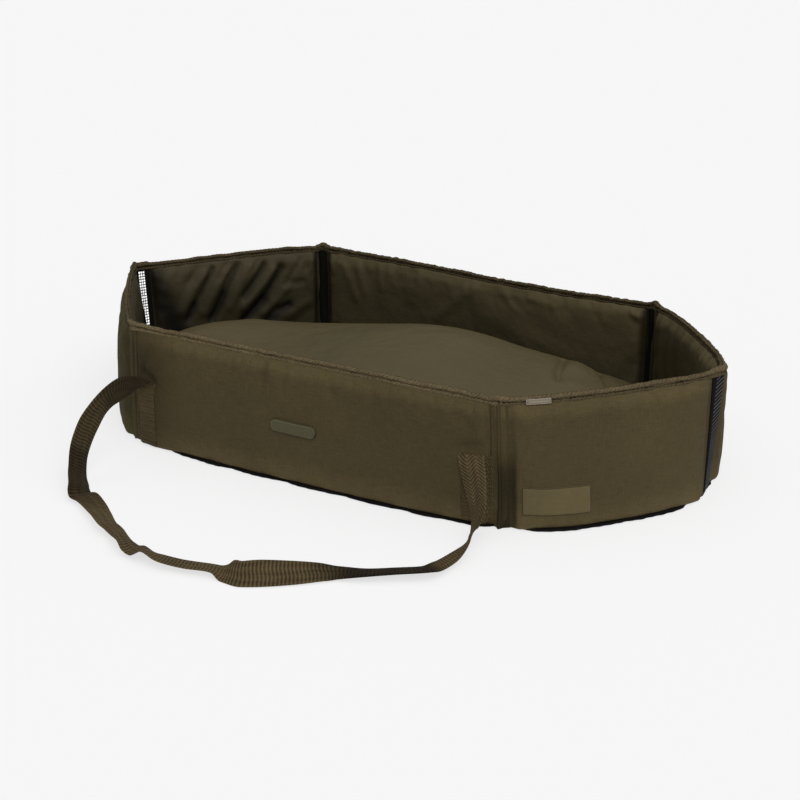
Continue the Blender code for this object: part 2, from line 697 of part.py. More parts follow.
def main():
    group, cutters = fresh_scene()
    finishes = make_finishes()
    panels = make_panels()
    make_base(panels, group, cutters, finishes)
    make_walls(panels, group, cutters, finishes)
    make_closures(panels, group, finishes)
    make_small_pieces(panels, group, finishes)
    make_bands(panels, group, finishes["webbing"])
    make_handle("front_handle", panels["front_wall"], -1, group, finishes["webbing"])
    make_handle("rear_handle", panels["rear_wall"], 1, group, finishes["webbing"])
    make_cushion(group, cutters, finishes)


main()
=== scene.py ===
"""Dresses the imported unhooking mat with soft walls, cushion, webbing and tapes, and sets camera, light and floor."""

import math

import bmesh
import bpy
import numpy as np
from mathutils import Matrix, Vector


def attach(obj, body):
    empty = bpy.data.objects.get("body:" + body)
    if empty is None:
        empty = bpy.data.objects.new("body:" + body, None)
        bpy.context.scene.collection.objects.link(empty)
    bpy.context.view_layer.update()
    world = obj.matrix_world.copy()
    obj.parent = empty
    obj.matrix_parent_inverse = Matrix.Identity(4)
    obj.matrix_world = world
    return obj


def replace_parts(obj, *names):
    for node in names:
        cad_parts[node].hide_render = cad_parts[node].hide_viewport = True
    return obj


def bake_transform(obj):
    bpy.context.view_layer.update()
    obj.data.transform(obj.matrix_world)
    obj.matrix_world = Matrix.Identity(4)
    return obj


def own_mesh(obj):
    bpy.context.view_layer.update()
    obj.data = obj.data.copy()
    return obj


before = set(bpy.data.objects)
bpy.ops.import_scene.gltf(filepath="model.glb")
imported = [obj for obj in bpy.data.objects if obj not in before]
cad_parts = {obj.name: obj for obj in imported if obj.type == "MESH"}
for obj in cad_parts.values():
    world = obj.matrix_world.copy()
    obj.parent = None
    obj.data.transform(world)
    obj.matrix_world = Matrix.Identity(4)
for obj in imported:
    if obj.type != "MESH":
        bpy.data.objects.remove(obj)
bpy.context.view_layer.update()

# ---- sizes in metres, as in the CAD
H = 0.18
WALL = 0.011  # half a wall's thickness
FLAP = 0.002  # half the thickness of its unpadded edges
CORNER_FLAP, TIP_FLAP = 0.015, 0.028  # how wide those are
FOOT, PAD_TOP, COVER_TOP = 0.0034, 0.1692, 0.1785  # heights
TURN = math.atan2(0.252, 0.2)  # how far a wall turns at a corner
WEB = 0.038
HINGE_REACH = 0.011  # from a corner to where its unpadded cloth begins
BADGE_U, BADGE_Z, BADGE_HALF, BADGE_R = 0.2975, 0.0825, 0.0375, 0.009  # middle, half length and end radius
SOFT_EDGE, SUNK = 0.0005, 0.0012  # how wide a patch's edge is eased, and how deep its back lies in the cloth
PINCH = 0.0064  # from one gather of the rim tape to the next
SHORT = 0.0002  # how far a wall's surfaces stop short of its corners
WALL_PUFF, CUSHION_PUFF = 0.0035, 0.007  # the most that a point of a cloth moves when it is blown up
CORNERS = {
    "A": (-0.3, -0.252), "F": (0.3, -0.252), "C": (-0.3, 0.252), "D": (0.3, 0.252), "B": (-0.5, 0), "E": (0.5, 0),
}
# how far the fabric rim has settled away from the straight plan at each corner
MOVES = {"A": (0.001, 0.002, 0), "F": (0, -0.008, 0), "C": (0, 0, 0.001), "D": (0.004, -0.010, -0.006)}
# how far the ends have drawn in at the ground, and how far each rim sags along its wall
FEET = {"B": (0.012, 0.0), "E": (-0.009, 0.0), "F": (0.004, -0.002)}
SAGS = {
    "rear_left_end": ([0, 0.12, 0.2, 0.28, 0.32], [0, -0.001, -0.003, -0.003, -0.001]),
    "rear_wall": ([0, 0.2, 0.3, 0.38, 0.45, 0.52, 0.6], [0, 0, -0.003, -0.0045, -0.004, -0.002, 0]),
}
# the padding under the sewn top: distance below it, in shares of 13.5 mm, and share of the full thickness
TENT = [0, 0.25, 0.5, 0.7, 0.85, 1, 1.15, 1.35], [0, 0.26, 0.52, 0.72, 0.85, 0.94, 0.985, 1]
# folds of each wall's sides, in millimetres: width, height, then the ridge's points along and up the wall
RIDGES = {
    ("rear_left_end", -1): [
        (5.5, -6.2, 191.7, 158.3, 212.3, 125.8, 228, 100.2, 241.2, 76.8), (4, -3.2, 167.2, 163.3, 182.5, 140),
        (6.2, -7.5, 147.7, 158.9, 162.9, 140.5, 175.9, 114.4, 189.1, 85.6, 199.4, 71.6),
        (3, -3, 108.3, 165.2, 125.8, 149.3), (5.5, -6.2, 103.6, 154.8, 118.8, 131.2, 141.6, 105.8),
        (7, -8.5, 74.3, 147.4, 89.4, 120.9, 107.1, 97.2, 127.4, 76.4, 142.6, 62.7),
        (4, -3.6, 40.2, 160.1, 62.4, 126.4), (4.5, -3.4, 38.4, 121.1, 67.4, 119.2),
        (5.5, -6, 63.1, 82.1, 87.8, 72.5, 102.9, 56), (6.5, -3.4, 213.5, 160.6, 236.3, 138.5),
        (8, 3.8, 207, 150, 232.1, 120.6, 250, 90), (7, 4, 172, 150, 195, 115, 212, 85),
        (7, 3.4, 128, 152, 147, 125, 166, 90), (6, 5, 89, 146, 104.1, 127.3, 126.9, 101.7, 144.6, 85.8),
        (5.5, 4, 65, 114, 85, 92.7, 107.6, 71.8), (9, 3.4, 34.1, 84.2, 60.9, 65.3),
    ],
    ("rear_wall", -1): [
        (9, 2.6, 291.7, 153.6, 258.8, 125.1, 229.9, 94.6), (6, 2, 350.2, 156.2, 370, 134.1),
        (6, 1.8, 390, 158.1, 437.9, 148.9), (6, 2.2, 564.1, 160.9, 589.3, 149.1),
        (10, 2, 194.7, 162.7, 178.8, 117.1), (9, 1.8, 137.6, 160.9, 125.8, 109.1),
        (7, 2.6, 40.3, 166.8, 63.6, 130.8, 72.3, 101.2), (7, 2.4, 74.6, 162.8, 87.5, 116.7),
        (7, 2, 113.6, 164, 121.7, 126), (20, 2, 310, 120, 470, 60),
    ],
    ("rear_right_end", -1): [
        (6, 2.4, 129.4, 166, 116.8, 103.3), (5.5, 2.8, 170.6, 166, 163.6, 111.7), (5, 3, 212.4, 166, 204.5, 120),
        (4.5, 3, 232, 166, 226.4, 120), (4.5, 2.8, 255, 166, 250, 125), (7, 2.2, 43.9, 165.2, 42.4, 70.1),
        (7, 2.2, 80.5, 168.5, 75.9, 85.4), (4.5, 2.6, 273, 166, 270, 120),
    ],
    ("front_wall", 1): [
        (4.5, -5.2, 241.8, 160.4, 240.1, 137.2), (7.5, -7, 27.9, 110.7, 42.9, 106, 50, 100),
        (9.5, -6.5, 557, 107, 578.2, 109.5), (6, -2.6, 45.6, 163.2, 34.3, 124),
        (5, -3.4, 278.9, 161.6, 275.4, 134.7), (5, -2.6, 352, 162, 356, 140), (5, -2.6, 117, 164, 112, 146),
        (5, -2.6, 187, 164, 190, 150),
    ],
    ("front_right_end", 1): [
        (5, -1.8, 62.8, 169, 59.9, 150), (5, -1.6, 131.1, 169, 133.3, 152), (5, -1.6, 203.2, 169, 207.5, 150),
        (5, -1.6, 14, 166.7, 19.2, 136.4),
    ],
}


def smooth(x):
    """0 up to 0, 1 from 1 on, eased between them."""
    x = np.clip(x, 0, 1)
    return x * x * (3 - 2 * x)


def swell(d, r):
    """A quarter round that rises from 0 at the edge to 1 at distance r."""
    return np.sqrt(np.clip(1 - (1 - np.clip(d / r, 0, 1)) ** 2, 0, 1))


def bell(x, width):
    """1 at zero, falling off to both sides."""
    return np.exp(-((x / width) ** 2))


def unit(v):
    return v / np.linalg.norm(v, axis=-1, keepdims=True)


def grid(a, b):
    return np.meshgrid(a, b, indexing="ij")


def stacked(*parts):
    return np.stack(np.broadcast_arrays(*parts), -1)


def relaxed(rows, times):
    """Rows of points drawn towards their neighbours, the first and last kept."""
    for _ in range(times):
        rows[1:-1] = rows[1:-1] * 0.5 + (rows[:-2] + rows[2:]) * 0.25
    return rows


def ridge_lines(rows, deep=1.0):
    """From rows of millimetres, as in RIDGES, to what strokes takes, in metres."""
    rows = (np.array(row) / 1000 for row in rows)
    return [(list(zip(row[2::2], row[3::2])), row[0], row[1] * deep) for row in rows]


def waves(u, v, seed, size, count=7):
    """Sum of plane waves with random directions, between -1 and 1; size is the typical wavelength."""
    rng = np.random.default_rng(seed)
    total = 0
    for _ in range(count):
        angle, phase, scale = rng.uniform(0, math.pi), rng.uniform(0, 6.28), rng.uniform(0.7, 1.6)
        total = total + np.sin((u * math.cos(angle) + v * math.sin(angle)) * 6.283 / (size * scale) + phase)
    return total / count ** 0.5 / 1.6


def strokes(u, v, lines):
    """Soft ridges (positive) and valleys (negative) along polylines: (points, width, height)."""
    total = np.zeros(np.broadcast(u, v).shape)
    for points, width, height in lines:
        best = np.full(total.shape, 1e9)
        for (u0, v0), (u1, v1) in zip(points, points[1:]):
            du, dv = u1 - u0, v1 - v0
            t = np.clip(((u - u0) * du + (v - v0) * dv) / (du * du + dv * dv), 0, 1)
            best = np.minimum(best, np.hypot(u - u0 - t * du, v - v0 - t * dv))
        total += height * bell(best, width)
    return total


class Panel:
    """One padded wall, measured along it, outwards from its middle and up."""

    def __init__(self, name, start, end, rim, base):
        self.name, self.rim, self.base = name, rim, base
        self.a, b = np.array(CORNERS[start], float), np.array(CORNERS[end], float)
        self.length = float(np.linalg.norm(b - self.a))
        self.along = (b - self.a) / self.length
        self.out = np.array([self.along[1], -self.along[0]])
        if self.out @ (self.a + b) < 0:
            self.out = -self.out
        self.ends = SHORT, self.length - SHORT
        self.tip = end in "BE"
        self.last = self.length - (TIP_FLAP if self.tip else CORNER_FLAP)
        self.moves = [np.array(MOVES.get(corner, (0, 0, 0)), float) for corner in (start, end)]
        self.feet = [np.array([*FEET.get(corner, (0, 0)), 0.0]) for corner in (start, end)]
        self.steep = 0.005 if name == "front_right_end" else 0.011
        self.seed = len(name) * 7 + ord(name[0]) + ord(name[-5])
        deep = 1.15 if name == "rear_left_end" else 1.0
        self.folds = {side: ridge_lines(RIDGES.get((name, side), []), deep) + self.puckers(side) for side in (1, -1)}
        self.grid = None

    def puckers(self, side):
        """Short creases that run down from the sewn top edge."""
        rng = np.random.default_rng(self.seed + 3 * side)
        lines, u = [], 0.03
        while u < self.length - 0.03:
            deep = rng.uniform(0.01, 0.028)
            points = [(u, PAD_TOP - 0.001), (u + rng.uniform(-0.006, 0.006), PAD_TOP - deep)]
            lines.append((points, rng.uniform(0.0024, 0.0044), rng.uniform(-0.0024, -0.0009)))
            u += rng.uniform(0.01, 0.03)
        return lines

    def tucked(self, u):
        """1 where the wall hangs to the ground over the base tape, 0 where the tape shows."""
        if self.name == "front_wall":
            return np.maximum(1 - smooth((u - 0.065) / 0.04), smooth((u - 0.57) / 0.02))
        if self.name == "front_left_end":
            return np.ones_like(u)
        if self.name == "front_right_end":
            return np.maximum(1 - smooth((u - 0.018) / 0.03), smooth((u - 0.24) / 0.035))
        return smooth((u - 0.24) / 0.04) if self.tip else np.zeros_like(u)

    def from_corner(self, corner, s):
        """Places at distance s from the corner at its start (A or C) or at its other end."""
        return s if corner in "AC" else self.length - s

    def at(self, u, n, z):
        """Points along it, outwards from its middle and up, with the plan's bow and how the cloth has settled."""
        u, n, z = np.broadcast_arrays(*(np.asarray(q, float) for q in (u, n, z)))
        low = 1 - smooth((z - FOOT) / 0.025)
        z = z - low * (0.0028 * self.tucked(u) + 0.0006 * waves(u, 0 * u, self.seed, 0.05))
        s = u / self.length
        bow = (self.rim + self.base * (1 - z / H)) * (1 - np.abs(2 * np.clip(s, 0, 1) - 1) ** 3)
        if self.name == "front_right_end":
            bow = bow + 0.006 * bell(s - 0.93, 0.05) * np.clip(1 - z / H, 0, 1) ** 2
        near_a = np.clip(1 - u / CORNER_FLAP, 0, 1)
        near_b = np.clip(1 - (self.length - u) / CORNER_FLAP, 0, 1)
        miter = np.clip(-n, 0, None) * math.tan(TURN / 2)
        if self.tip:
            shift = miter * near_a - near_b * n * self.out[1] / self.along[1]
        else:
            shift = miter * (near_a - near_b)
        k = np.clip(z / H, 0, None)[..., None] ** 1.5
        move = (self.moves[0] * (1 - s[..., None]) + self.moves[1] * s[..., None]) * k
        low = np.clip(1 - z / H, 0, None)
        move = move + (self.feet[0] * (1 - s[..., None]) ** 2 + self.feet[1] * s[..., None] ** 2) * low[..., None]
        if self.name.endswith("right_end"):
            move = move - np.array([0.004, 0, 0]) * (low * low * smooth((s - 0.85) / 0.15))[..., None]
        if self.name in SAGS:
            move = move + np.array([0, 0, 1]) * k * np.interp(u, *SAGS[self.name])[..., None]
        xy = self.a + self.along * (u + shift)[..., None] + self.out * (n + bow)[..., None]
        return np.concatenate([xy, z[..., None]], -1) + move

    def pad(self, u, z):
        """Share of the full padding, 0 on the flat edges."""
        d = PAD_TOP + 0.0005 - z
        tented = 0.24 * swell(d, 0.003) + 0.76 * np.interp(d / 0.0135, *TENT)
        sides = np.minimum(swell(u - CORNER_FLAP + 0.001, self.steep), swell(self.last - u + 0.001, 0.011))
        return sides * tented

    def half(self, u, z, side):
        """How far the cloth lies from the wall's middle."""
        share = self.pad(u, z)
        foot = swell(z - FOOT + 0.004, 0.012)
        puff = 0.0016 * np.sin(np.pi * np.clip(u / self.length, 0, 1)) * np.sin(np.pi * np.clip(z / H, 0, 1))
        wobble = 0.0006 * waves(u, z, self.seed + side, 0.09) + 0.00025 * waves(u, z, self.seed + side + 5, 0.03)
        full = np.maximum((WALL - FLAP) * foot + puff + wobble + strokes(u, z, self.folds[side]), 0.0005)
        return FLAP + full * share + self.swollen(u, z, side)

    def swollen(self, u, z, side):
        """What the cloth simulation added, read between the points of its grid."""
        if self.grid is None:
            return 0
        us, zs, added = self.grid
        a = np.clip(np.interp(u, us, np.arange(len(us))), 0, len(us) - 1.001)
        b = np.clip(np.interp(z, zs, np.arange(len(zs))), 0, len(zs) - 1.001)
        i, j = a.astype(int), b.astype(int)
        s, t, d = a - i, b - j, added[side]
        return (d[i, j] * (1 - s) + d[i + 1, j] * s) * (1 - t) + (d[i, j + 1] * (1 - s) + d[i + 1, j + 1] * s) * t

    def face(self, u, z, side, lift=0.0):
        return self.at(u, side * (self.half(u, z, side) + lift), z)


# each wall's two corners, and how far it bows out at its rim and more at its foot
PANELS = {
    name: Panel(name, *plan)
    for name, plan in {
        "front_wall": ("A", "F", 0, 0.014),
        "rear_wall": ("C", "D", 0, 0.014),
        "front_left_end": ("A", "B", 0.008, 0.008),
        "front_right_end": ("F", "E", 0.018, 0.020),
        "rear_left_end": ("C", "B", 0.014, 0.008),
        "rear_right_end": ("D", "E", 0.016, 0.010),
    }.items()
}


# ---- mesh helpers
def piece(name, verts, faces, uvs, body, material):
    """A mesh with its UV map, its normals outward, riding on its body."""
    mesh = bpy.data.meshes.new(name)
    mesh.from_pydata([tuple(v) for v in verts], [], faces)
    mesh.update()
    layer = mesh.uv_layers.new(name="UVMap")
    loops = np.zeros(len(mesh.loops), int)
    mesh.loops.foreach_get("vertex_index", loops)
    layer.data.foreach_set("uv", np.asarray(uvs, np.float32)[loops].ravel())
    mesh.polygons.foreach_set("use_smooth", [True] * len(mesh.polygons))
    mesh.materials.append(material)
    obj = bpy.data.objects.new(name, mesh)
    bpy.context.scene.collection.objects.link(obj)
    bm = bmesh.new()
    bm.from_mesh(mesh)
    bmesh.ops.recalc_face_normals(bm, faces=bm.faces)
    if bm.calc_volume(signed=True) < 0:
        bmesh.ops.reverse_faces(bm, faces=bm.faces)
    bm.to_mesh(mesh)
    bm.free()
    if body:
        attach(obj, body)
    return obj


def shell(name, front, back, uv, body, material, flip=0.0, lining=None):
    """A closed form from two equal grids of points, joined all round their edges."""
    nu, nv = front.shape[:2]
    verts = np.concatenate([front.reshape(-1, 3), back.reshape(-1, 3)])
    uvs = np.concatenate([uv.reshape(-1, 2), uv.reshape(-1, 2) + flip])
    index = np.arange(nu * nv).reshape(nu, nv)
    a, b, c, d = index[:-1, :-1].ravel(), index[1:, :-1].ravel(), index[1:, 1:].ravel(), index[:-1, 1:].ravel()
    n = nu * nv
    faces = np.stack([a, b, c, d], 1).tolist() + np.stack([d + n, c + n, b + n, a + n], 1).tolist()
    edge = list(index[:, 0]) + list(index[-1, 1:]) + list(index[-2::-1, -1]) + list(index[0, -2:0:-1])
    for p, q in zip(edge, edge[1:] + edge[:1]):
        faces.append([int(q), int(p), int(p + n), int(q + n)])
    obj = piece(name, verts, faces, uvs, body, material)
    if lining:
        obj.data.materials.append(lining)
        for face in obj.data.polygons:
            face.material_index = int(len(a) <= face.index < 2 * len(a))
    return obj


def sweep(name, rings, uv_u, body, material, closed=False):
    """A tube through rings of points, with flat ends."""
    nu, nv = rings.shape[:2]
    index = np.arange(nu * nv).reshape(nu, nv)
    faces = []
    last = nu if closed else nu - 1
    for i in range(last):
        a, b = index[i], index[(i + 1) % nu]
        faces += [[int(a[j]), int(b[j]), int(b[(j + 1) % nv]), int(a[(j + 1) % nv])] for j in range(nv)]
    if not closed:
        faces += [[int(k) for k in index[0][::-1]], [int(k) for k in index[-1]]]
    lengths = np.linalg.norm(np.diff(rings[0], axis=0, append=rings[0][:1]), axis=1)
    across = np.concatenate([[0], np.cumsum(lengths)[:-1]])
    uvs = np.stack(np.broadcast_arrays(np.asarray(uv_u)[:, None], across[None, :]), -1).reshape(-1, 2)
    return piece(name, rings.reshape(-1, 3), faces, uvs, body, material)


def rounded(obj):
    subdivision = obj.modifiers.new("smooth", "SUBSURF")
    subdivision.levels = subdivision.render_levels = 1


def stations(low, high, step, fine, reach):
    """Places from low to high, closer together within reach of both ends."""
    a = np.arange(low, low + reach, fine)
    b = high - a[::-1] + low
    n = max(int((b[0] - a[-1]) / step), 2)
    return np.concatenate([a, np.linspace(a[-1], b[0], n + 1)[1:-1], b])


# ---- cloth simulation
def blown(mesh, pinned, pressure, slack, frames):
    """Where the mesh's points go when its cloth, cut a little too large, is filled with air."""
    scene = bpy.context.scene
    obj = bpy.data.objects.new("cloth_trial", mesh)
    scene.collection.objects.link(obj)
    modifier = obj.modifiers.new("air", "CLOTH")
    s = modifier.settings
    s.quality, s.mass, s.air_damping = 6, 0.25, 4
    s.tension_stiffness = s.compression_stiffness = 20
    s.shear_stiffness, s.bending_stiffness = 8, 0.3
    s.use_pressure, s.uniform_pressure_force = True, pressure
    s.shrink_min = s.shrink_max = -slack
    s.effector_weights.gravity = 0
    modifier.collision_settings.use_collision = False
    group = obj.vertex_groups.new(name="sewn")
    for index, weight in pinned:
        group.add([index], weight, "REPLACE")
    s.vertex_group_mass = "sewn"
    modifier.point_cache.frame_end = frames
    for frame_number in range(1, frames + 1):
        scene.frame_set(frame_number)
    graph = bpy.context.evaluated_depsgraph_get()
    moved = np.zeros(len(mesh.vertices) * 3)
    obj.evaluated_get(graph).data.vertices.foreach_get("co", moved)
    bpy.data.objects.remove(obj)
    scene.frame_set(1)
    return moved.reshape(-1, 3)


def rest_points(mesh):
    points = np.zeros(len(mesh.vertices) * 3)
    mesh.vertices.foreach_get("co", points)
    return points.reshape(-1, 3)


def capped(step, most):
    """The step of each point, eased so that none is longer than most."""
    size = np.linalg.norm(step, axis=1, keepdims=True)
    return step * (most * np.tanh(size / most) / np.maximum(size, 1e-9))


# ---- materials
LINED = 0.37  # how far a wall's inner side lies from its outer side on its UV map
SHEEN = (0.55, 0.42, 0.24, 1)
BLACK_YARN = (0.0045, 0.0042, 0.004)
THREAD = 0.0011  # pitch of the woven cloth
GATHER, STITCH = 0.0056, 0.0019  # pitch of the rim tape's cords and of its sewing thread


class Value:
    """A number or colour inside a material: its sums and products become Math nodes."""

    def __init__(self, tree, socket):
        self.tree, self.socket = tree, socket

    def math(self, operation, *others):
        return node(self.tree, "Math", enumerate((self, *others)), operation=operation)

    def __add__(self, other):
        return self.math("ADD", other)

    def __sub__(self, other):
        return self.math("SUBTRACT", other)

    def __rsub__(self, other):
        return self * -1.0 + other

    def __mul__(self, other):
        return self.math("MULTIPLY", other)

    def __truediv__(self, other):
        return self.math("DIVIDE", other)


def node(tree, kind, feeds=(), output=0, **props):
    """Adds a node with its settings and inputs, and gives one of its outputs."""
    made = tree.nodes.new("ShaderNode" + kind)
    for key, value in props.items():
        setattr(made, key, value)
    for key, value in dict(feeds).items():
        if isinstance(value, Value):
            tree.links.new(value.socket, made.inputs[key])
        else:
            made.inputs[key].default_value = value
    return Value(tree, made.outputs[output])


class Look:
    """A material under way, with its piece's two directions u and v: the UV map in metres, or object coordinates."""

    def __init__(self, name, roughness, specular=0.1, sheen=0.0, mapped=True):
        self.material = bpy.data.materials.new(name)
        self.material.use_nodes = True
        self.tree = self.material.node_tree
        self.bsdf = self.tree.nodes["Principled BSDF"]
        for key, value in (("Roughness", roughness), ("Specular IOR Level", specular), ("Sheen Weight", sheen),
                           ("Sheen Roughness", 0.4), ("Sheen Tint", SHEEN)):
            self.bsdf.inputs[key].default_value = value
        self.place = node(self.tree, "TexCoord", output="Object")
        where = node(self.tree, "UVMap", uv_map="UVMap") if mapped else self.place
        self.u, self.v = (node(self.tree, "SeparateXYZ", {0: where}, axis) for axis in (0, 1))

    def noise(self, scale, detail=3.0, where=None):
        return node(self.tree, "TexNoise", {"Vector": where or self.place, "Scale": scale, "Detail": detail})

    def streaks(self, along, across):
        """Noise drawn out along the threads."""
        return self.noise(1.0, 2.0, node(self.tree, "CombineXYZ", {0: self.u * along, 1: self.v * across}))

    def threads(self, along, across):
        """Streaks both ways: weft and warp."""
        return self.streaks(along, across), self.streaks(across, along)

    def mix(self, factor, low, high):
        return node(self.tree, "MixRGB", {0: factor, 1: low, 2: high}, use_clamp=True)

    def dyed(self, level, colour, low, high):
        """From the low share of the colour to the high one as level goes from 0 to 1."""
        return self.mix(level, *([*(c * share for c in colour), 1] for share in (low, high)))

    def finish(self, shade, height, distance):
        """Feeds the colour and the fine relief to the shader and gives the material."""
        bump = node(self.tree, "Bump", {"Height": height, "Distance": distance, "Strength": 1.0})
        self.tree.links.new(bump.socket, self.bsdf.inputs["Normal"])
        self.tree.links.new(shade.socket, self.bsdf.inputs["Base Color"])
        return self.material


def blended(start, *terms):
    """start plus each noise, centred on zero, times its weight."""
    for noise, weight in terms:
        start = (noise - 0.5) * weight + start
    return start


def ramp(value, low, high):
    """0 up to low, 1 from high on, eased between them."""
    feeds = {"Value": value, "From Min": low, "From Max": high}
    return node(value.tree, "MapRange", feeds, interpolation_type="SMOOTHSTEP")


def gain(value, low, high, first, last):
    """A factor that goes from first to last as value goes from low to high."""
    return ramp(value, low, high) * (last - first) + first


def times(colour, *factors):
    """A colour made lighter or darker by each factor."""
    for factor in factors:
        colour = node(colour.tree, "MixRGB", {0: 1.0, 1: colour, 2: factor}, blend_type="MULTIPLY")
    return colour


def painted_shading_along(shade, u, changes):
    """Painted light and shade along the piece, each change given as two places and two factors."""
    return times(shade, *(gain(u, *change) for change in changes))


def wave_along(value, pitch, kind="SINE"):
    return (value * (2 * math.pi / pitch)).math(kind)


def woven(name, colour, grain=0.25, roughness=0.85, sheen=0.04, specular=0.1, mapped=True, painted_highlights=None, painted_shading=(),
          painted_valley_shade=None):
    """Plain weave cloth: threads, thick and thin yarns both ways, and uneven dye. Painted highlight above a height and
    near the ground, painted light and shade along the piece, painted shade in the low part of a valley."""
    look = Look(name, roughness, specular, sheen, mapped)
    u, v = look.u, look.v
    weave = wave_along(u, THREAD) * wave_along(v, THREAD)
    weft, warp, fine = look.streaks(55, 620), look.streaks(560, 60), look.noise(620, 2)
    yarns = (weft, grain * 2.4), (warp, grain * 1.8), (fine, grain * 3.2)
    level = blended(weave * (grain * 0.25) + 0.5, (look.noise(8, 4), 0.5), *yarns)
    shade = look.dyed(level, colour, 0.6, 1.4)
    # painted highlight: paler above a height over the shoulder, and paler near the ground
    if painted_highlights:
        low, high, top = painted_highlights
        edge = blended(v, (look.noise(45), 0.008))
        shade = times(shade, gain(edge, low, high, 1.0, top), gain(v, 0.0, 0.045, 1.4, 1.0))
    # painted light and shade along the piece
    shade = painted_shading_along(shade, u, painted_shading)
    # painted shade in a valley, darkest low down
    if painted_valley_shade:
        a, b, c, d = painted_valley_shade
        across = gain(u, a, b, 1.0, 0.42).math("MAXIMUM", gain(u, c, d, 0.42, 1.0))
        shade = times(shade, across.math("MAXIMUM", gain(v, 0.05, 0.115, 0.12, 0.95)))
    return look.finish(shade, weft + warp + fine * 1.2 + weave, 0.00012)


def webbing(name, colour, pitch=0.0027, column=0.005, force=1.0, painted_shading=()):
    """Herringbone webbing: ribs that turn at each column, with fuzzy cords of uneven tone, and painted light and shade
    along the strap.
    """
    look = Look(name, 0.85, 0.1, 0.05)
    u, v = look.u, look.v
    turn = 0.45 if force == 1 else gain(u, 0.9, 0.97, 0.12, 0.8)
    rib = wave_along(u + v.math("PINGPONG", column) * turn, pitch)
    cords = wave_along(v, column, "COSINE")
    fine = look.noise(800, 2)
    fuzz = (fine, 0.8), (look.streaks(30, 260), 0.9), (look.noise(14), 0.7)
    level = blended(rib * (0.2 * force) + cords * 0.1 + 0.5, *fuzz)
    # painted light and shade along the strap
    shade = painted_shading_along(look.dyed(level, colour, 0.45, 1.55), u, painted_shading)
    return look.finish(shade, rib + fine + cords * 0.5, 0.0004)


# the folded tape's section, in millimetres out from its middle and up, and where its sewn groove lies round it
RIM = [(0, 0), (1.6, -0.2), (2.8, -1.0), (3.5, -2.2), (3.5, -3.6), (2.6, -4.7), (1.4, -5.4), (2.2, -6.4), (3.5, -7.4),
       (3.8, -8.9), (3.3, -10.3), (2.2, -11.3)]
RIM = np.array(RIM + [(-a, b) for a, b in RIM[:0:-1]]) / 1000
RIM_UPPER = RIM[:, 1] > -0.0052
RIM_STEPS = np.linalg.norm(np.diff(RIM, axis=0, append=RIM[:1]), axis=1)
RIM_HALF_TURN, RIM_GROOVE = float(RIM_STEPS.sum() / 2), float(RIM_STEPS[:6].sum())


def gathered(name, colour, deep=0.75, lower=1.0, tip=0.0):
    """Binding tape rolled over an edge: cords bunched by its stitching, a dark sewn groove, paler on the high threads.
    lower is painted shade, how much darker it is below the groove; from tip on the groove is wrapped over."""
    look = Look(name, 0.9, 0.08, 0.05)
    across = look.v.math("PINGPONG", RIM_HALF_TURN)
    bunch, fine = look.streaks(240, 160), look.noise(900, 2)
    off = blended(across - RIM_GROOVE, (bunch, 0.0022))
    groove = 1.0 - ramp(off.math("ABSOLUTE"), 0.0006, 0.0019)
    if tip:
        groove = groove * gain(look.u, tip, tip + 0.003, 1.0, 0.1)
    cord, thread = wave_along(across * 0.9 + look.u, GATHER), wave_along(across * -1.3 + look.u, STITCH)
    level = blended(cord * 0.15 + thread * 0.07 + 0.5, (bunch, 0.9), (fine, 0.9), (look.noise(16), 0.7))
    # painted shade on the tape's lower cord, below the groove
    shade = times(look.dyed(level, colour, 0.5, 1.6), 1.0 - groove * deep, gain(off, 0.0, 0.0012, 1.0, lower))
    return look.finish(shade, bunch + fine * 0.4 + cord * 0.3 + thread * 0.1 - groove * 0.8, 0.0011)


def crease(u, v, line):
    """A factor that paints shade on cloth round one of the left lining's crease lines."""
    x, z, x1, z1, wide = (q / 1000 for q in line[:5])
    length = math.hypot(x1 - x, z1 - z)
    c, d = (x1 - x) / length, (z1 - z) / length
    along = u * c + v * d - (x * c + z * d)
    across = v * c - u * d + (x * d - z * c)
    past = (along * -1.0).math("MAXIMUM", along - length).math("MAXIMUM", 0.0)
    return gain((past * past + across * across).math("SQRT"), wide * 0.1, wide, line[5], 1.0)


def coated(name, colour, ripple=1.0, lining=False, low=1.0, top=1.0, painted_shading=(), creases=()):
    """Close-woven coated cloth: faint threads, soft clouding and shallow ripples. A wall's lining gets painted shade at
    the corner, and low and top are how much paler it is below and above, as painted shade and painted highlight."""
    look = Look(name, 0.6, 0.14, mapped=lining)
    fine = look.noise(500, 2)
    weft, warp = look.threads(60, 500)
    threads = (weft, 0.35), (warp, 0.35)
    height = blended(0.0, (look.noise(24, 2), 9.0 * ripple), (look.noise(70, 2), 2.2 * ripple), (fine, 0.6), *threads)
    level = blended(0.5, (look.noise(7), 0.5), (fine, 0.45), (weft, 0.3), (warp, 0.3))
    shade = look.dyed(level, colour, 0.7, 1.3)
    if lining:
        u, z = look.u - LINED, blended(look.v - LINED, (look.noise(40), 0.01))
        # painted shade towards the bottom, painted highlight at the top
        shade = times(shade, gain(z, 0.085, 0.155, low, 1.0), gain(z, 0.148, 0.168, 1.0, top))
        # painted shade at the corner, then painted light and shade along the lining
        shade = painted_shading_along(shade, u, [(0.014, 0.024, 0.4, 1.0), *painted_shading])
        # painted shade along the creases
        shade = times(shade, *(crease(u, z, line) for line in creases))
    return look.finish(shade, height, 0.00035)


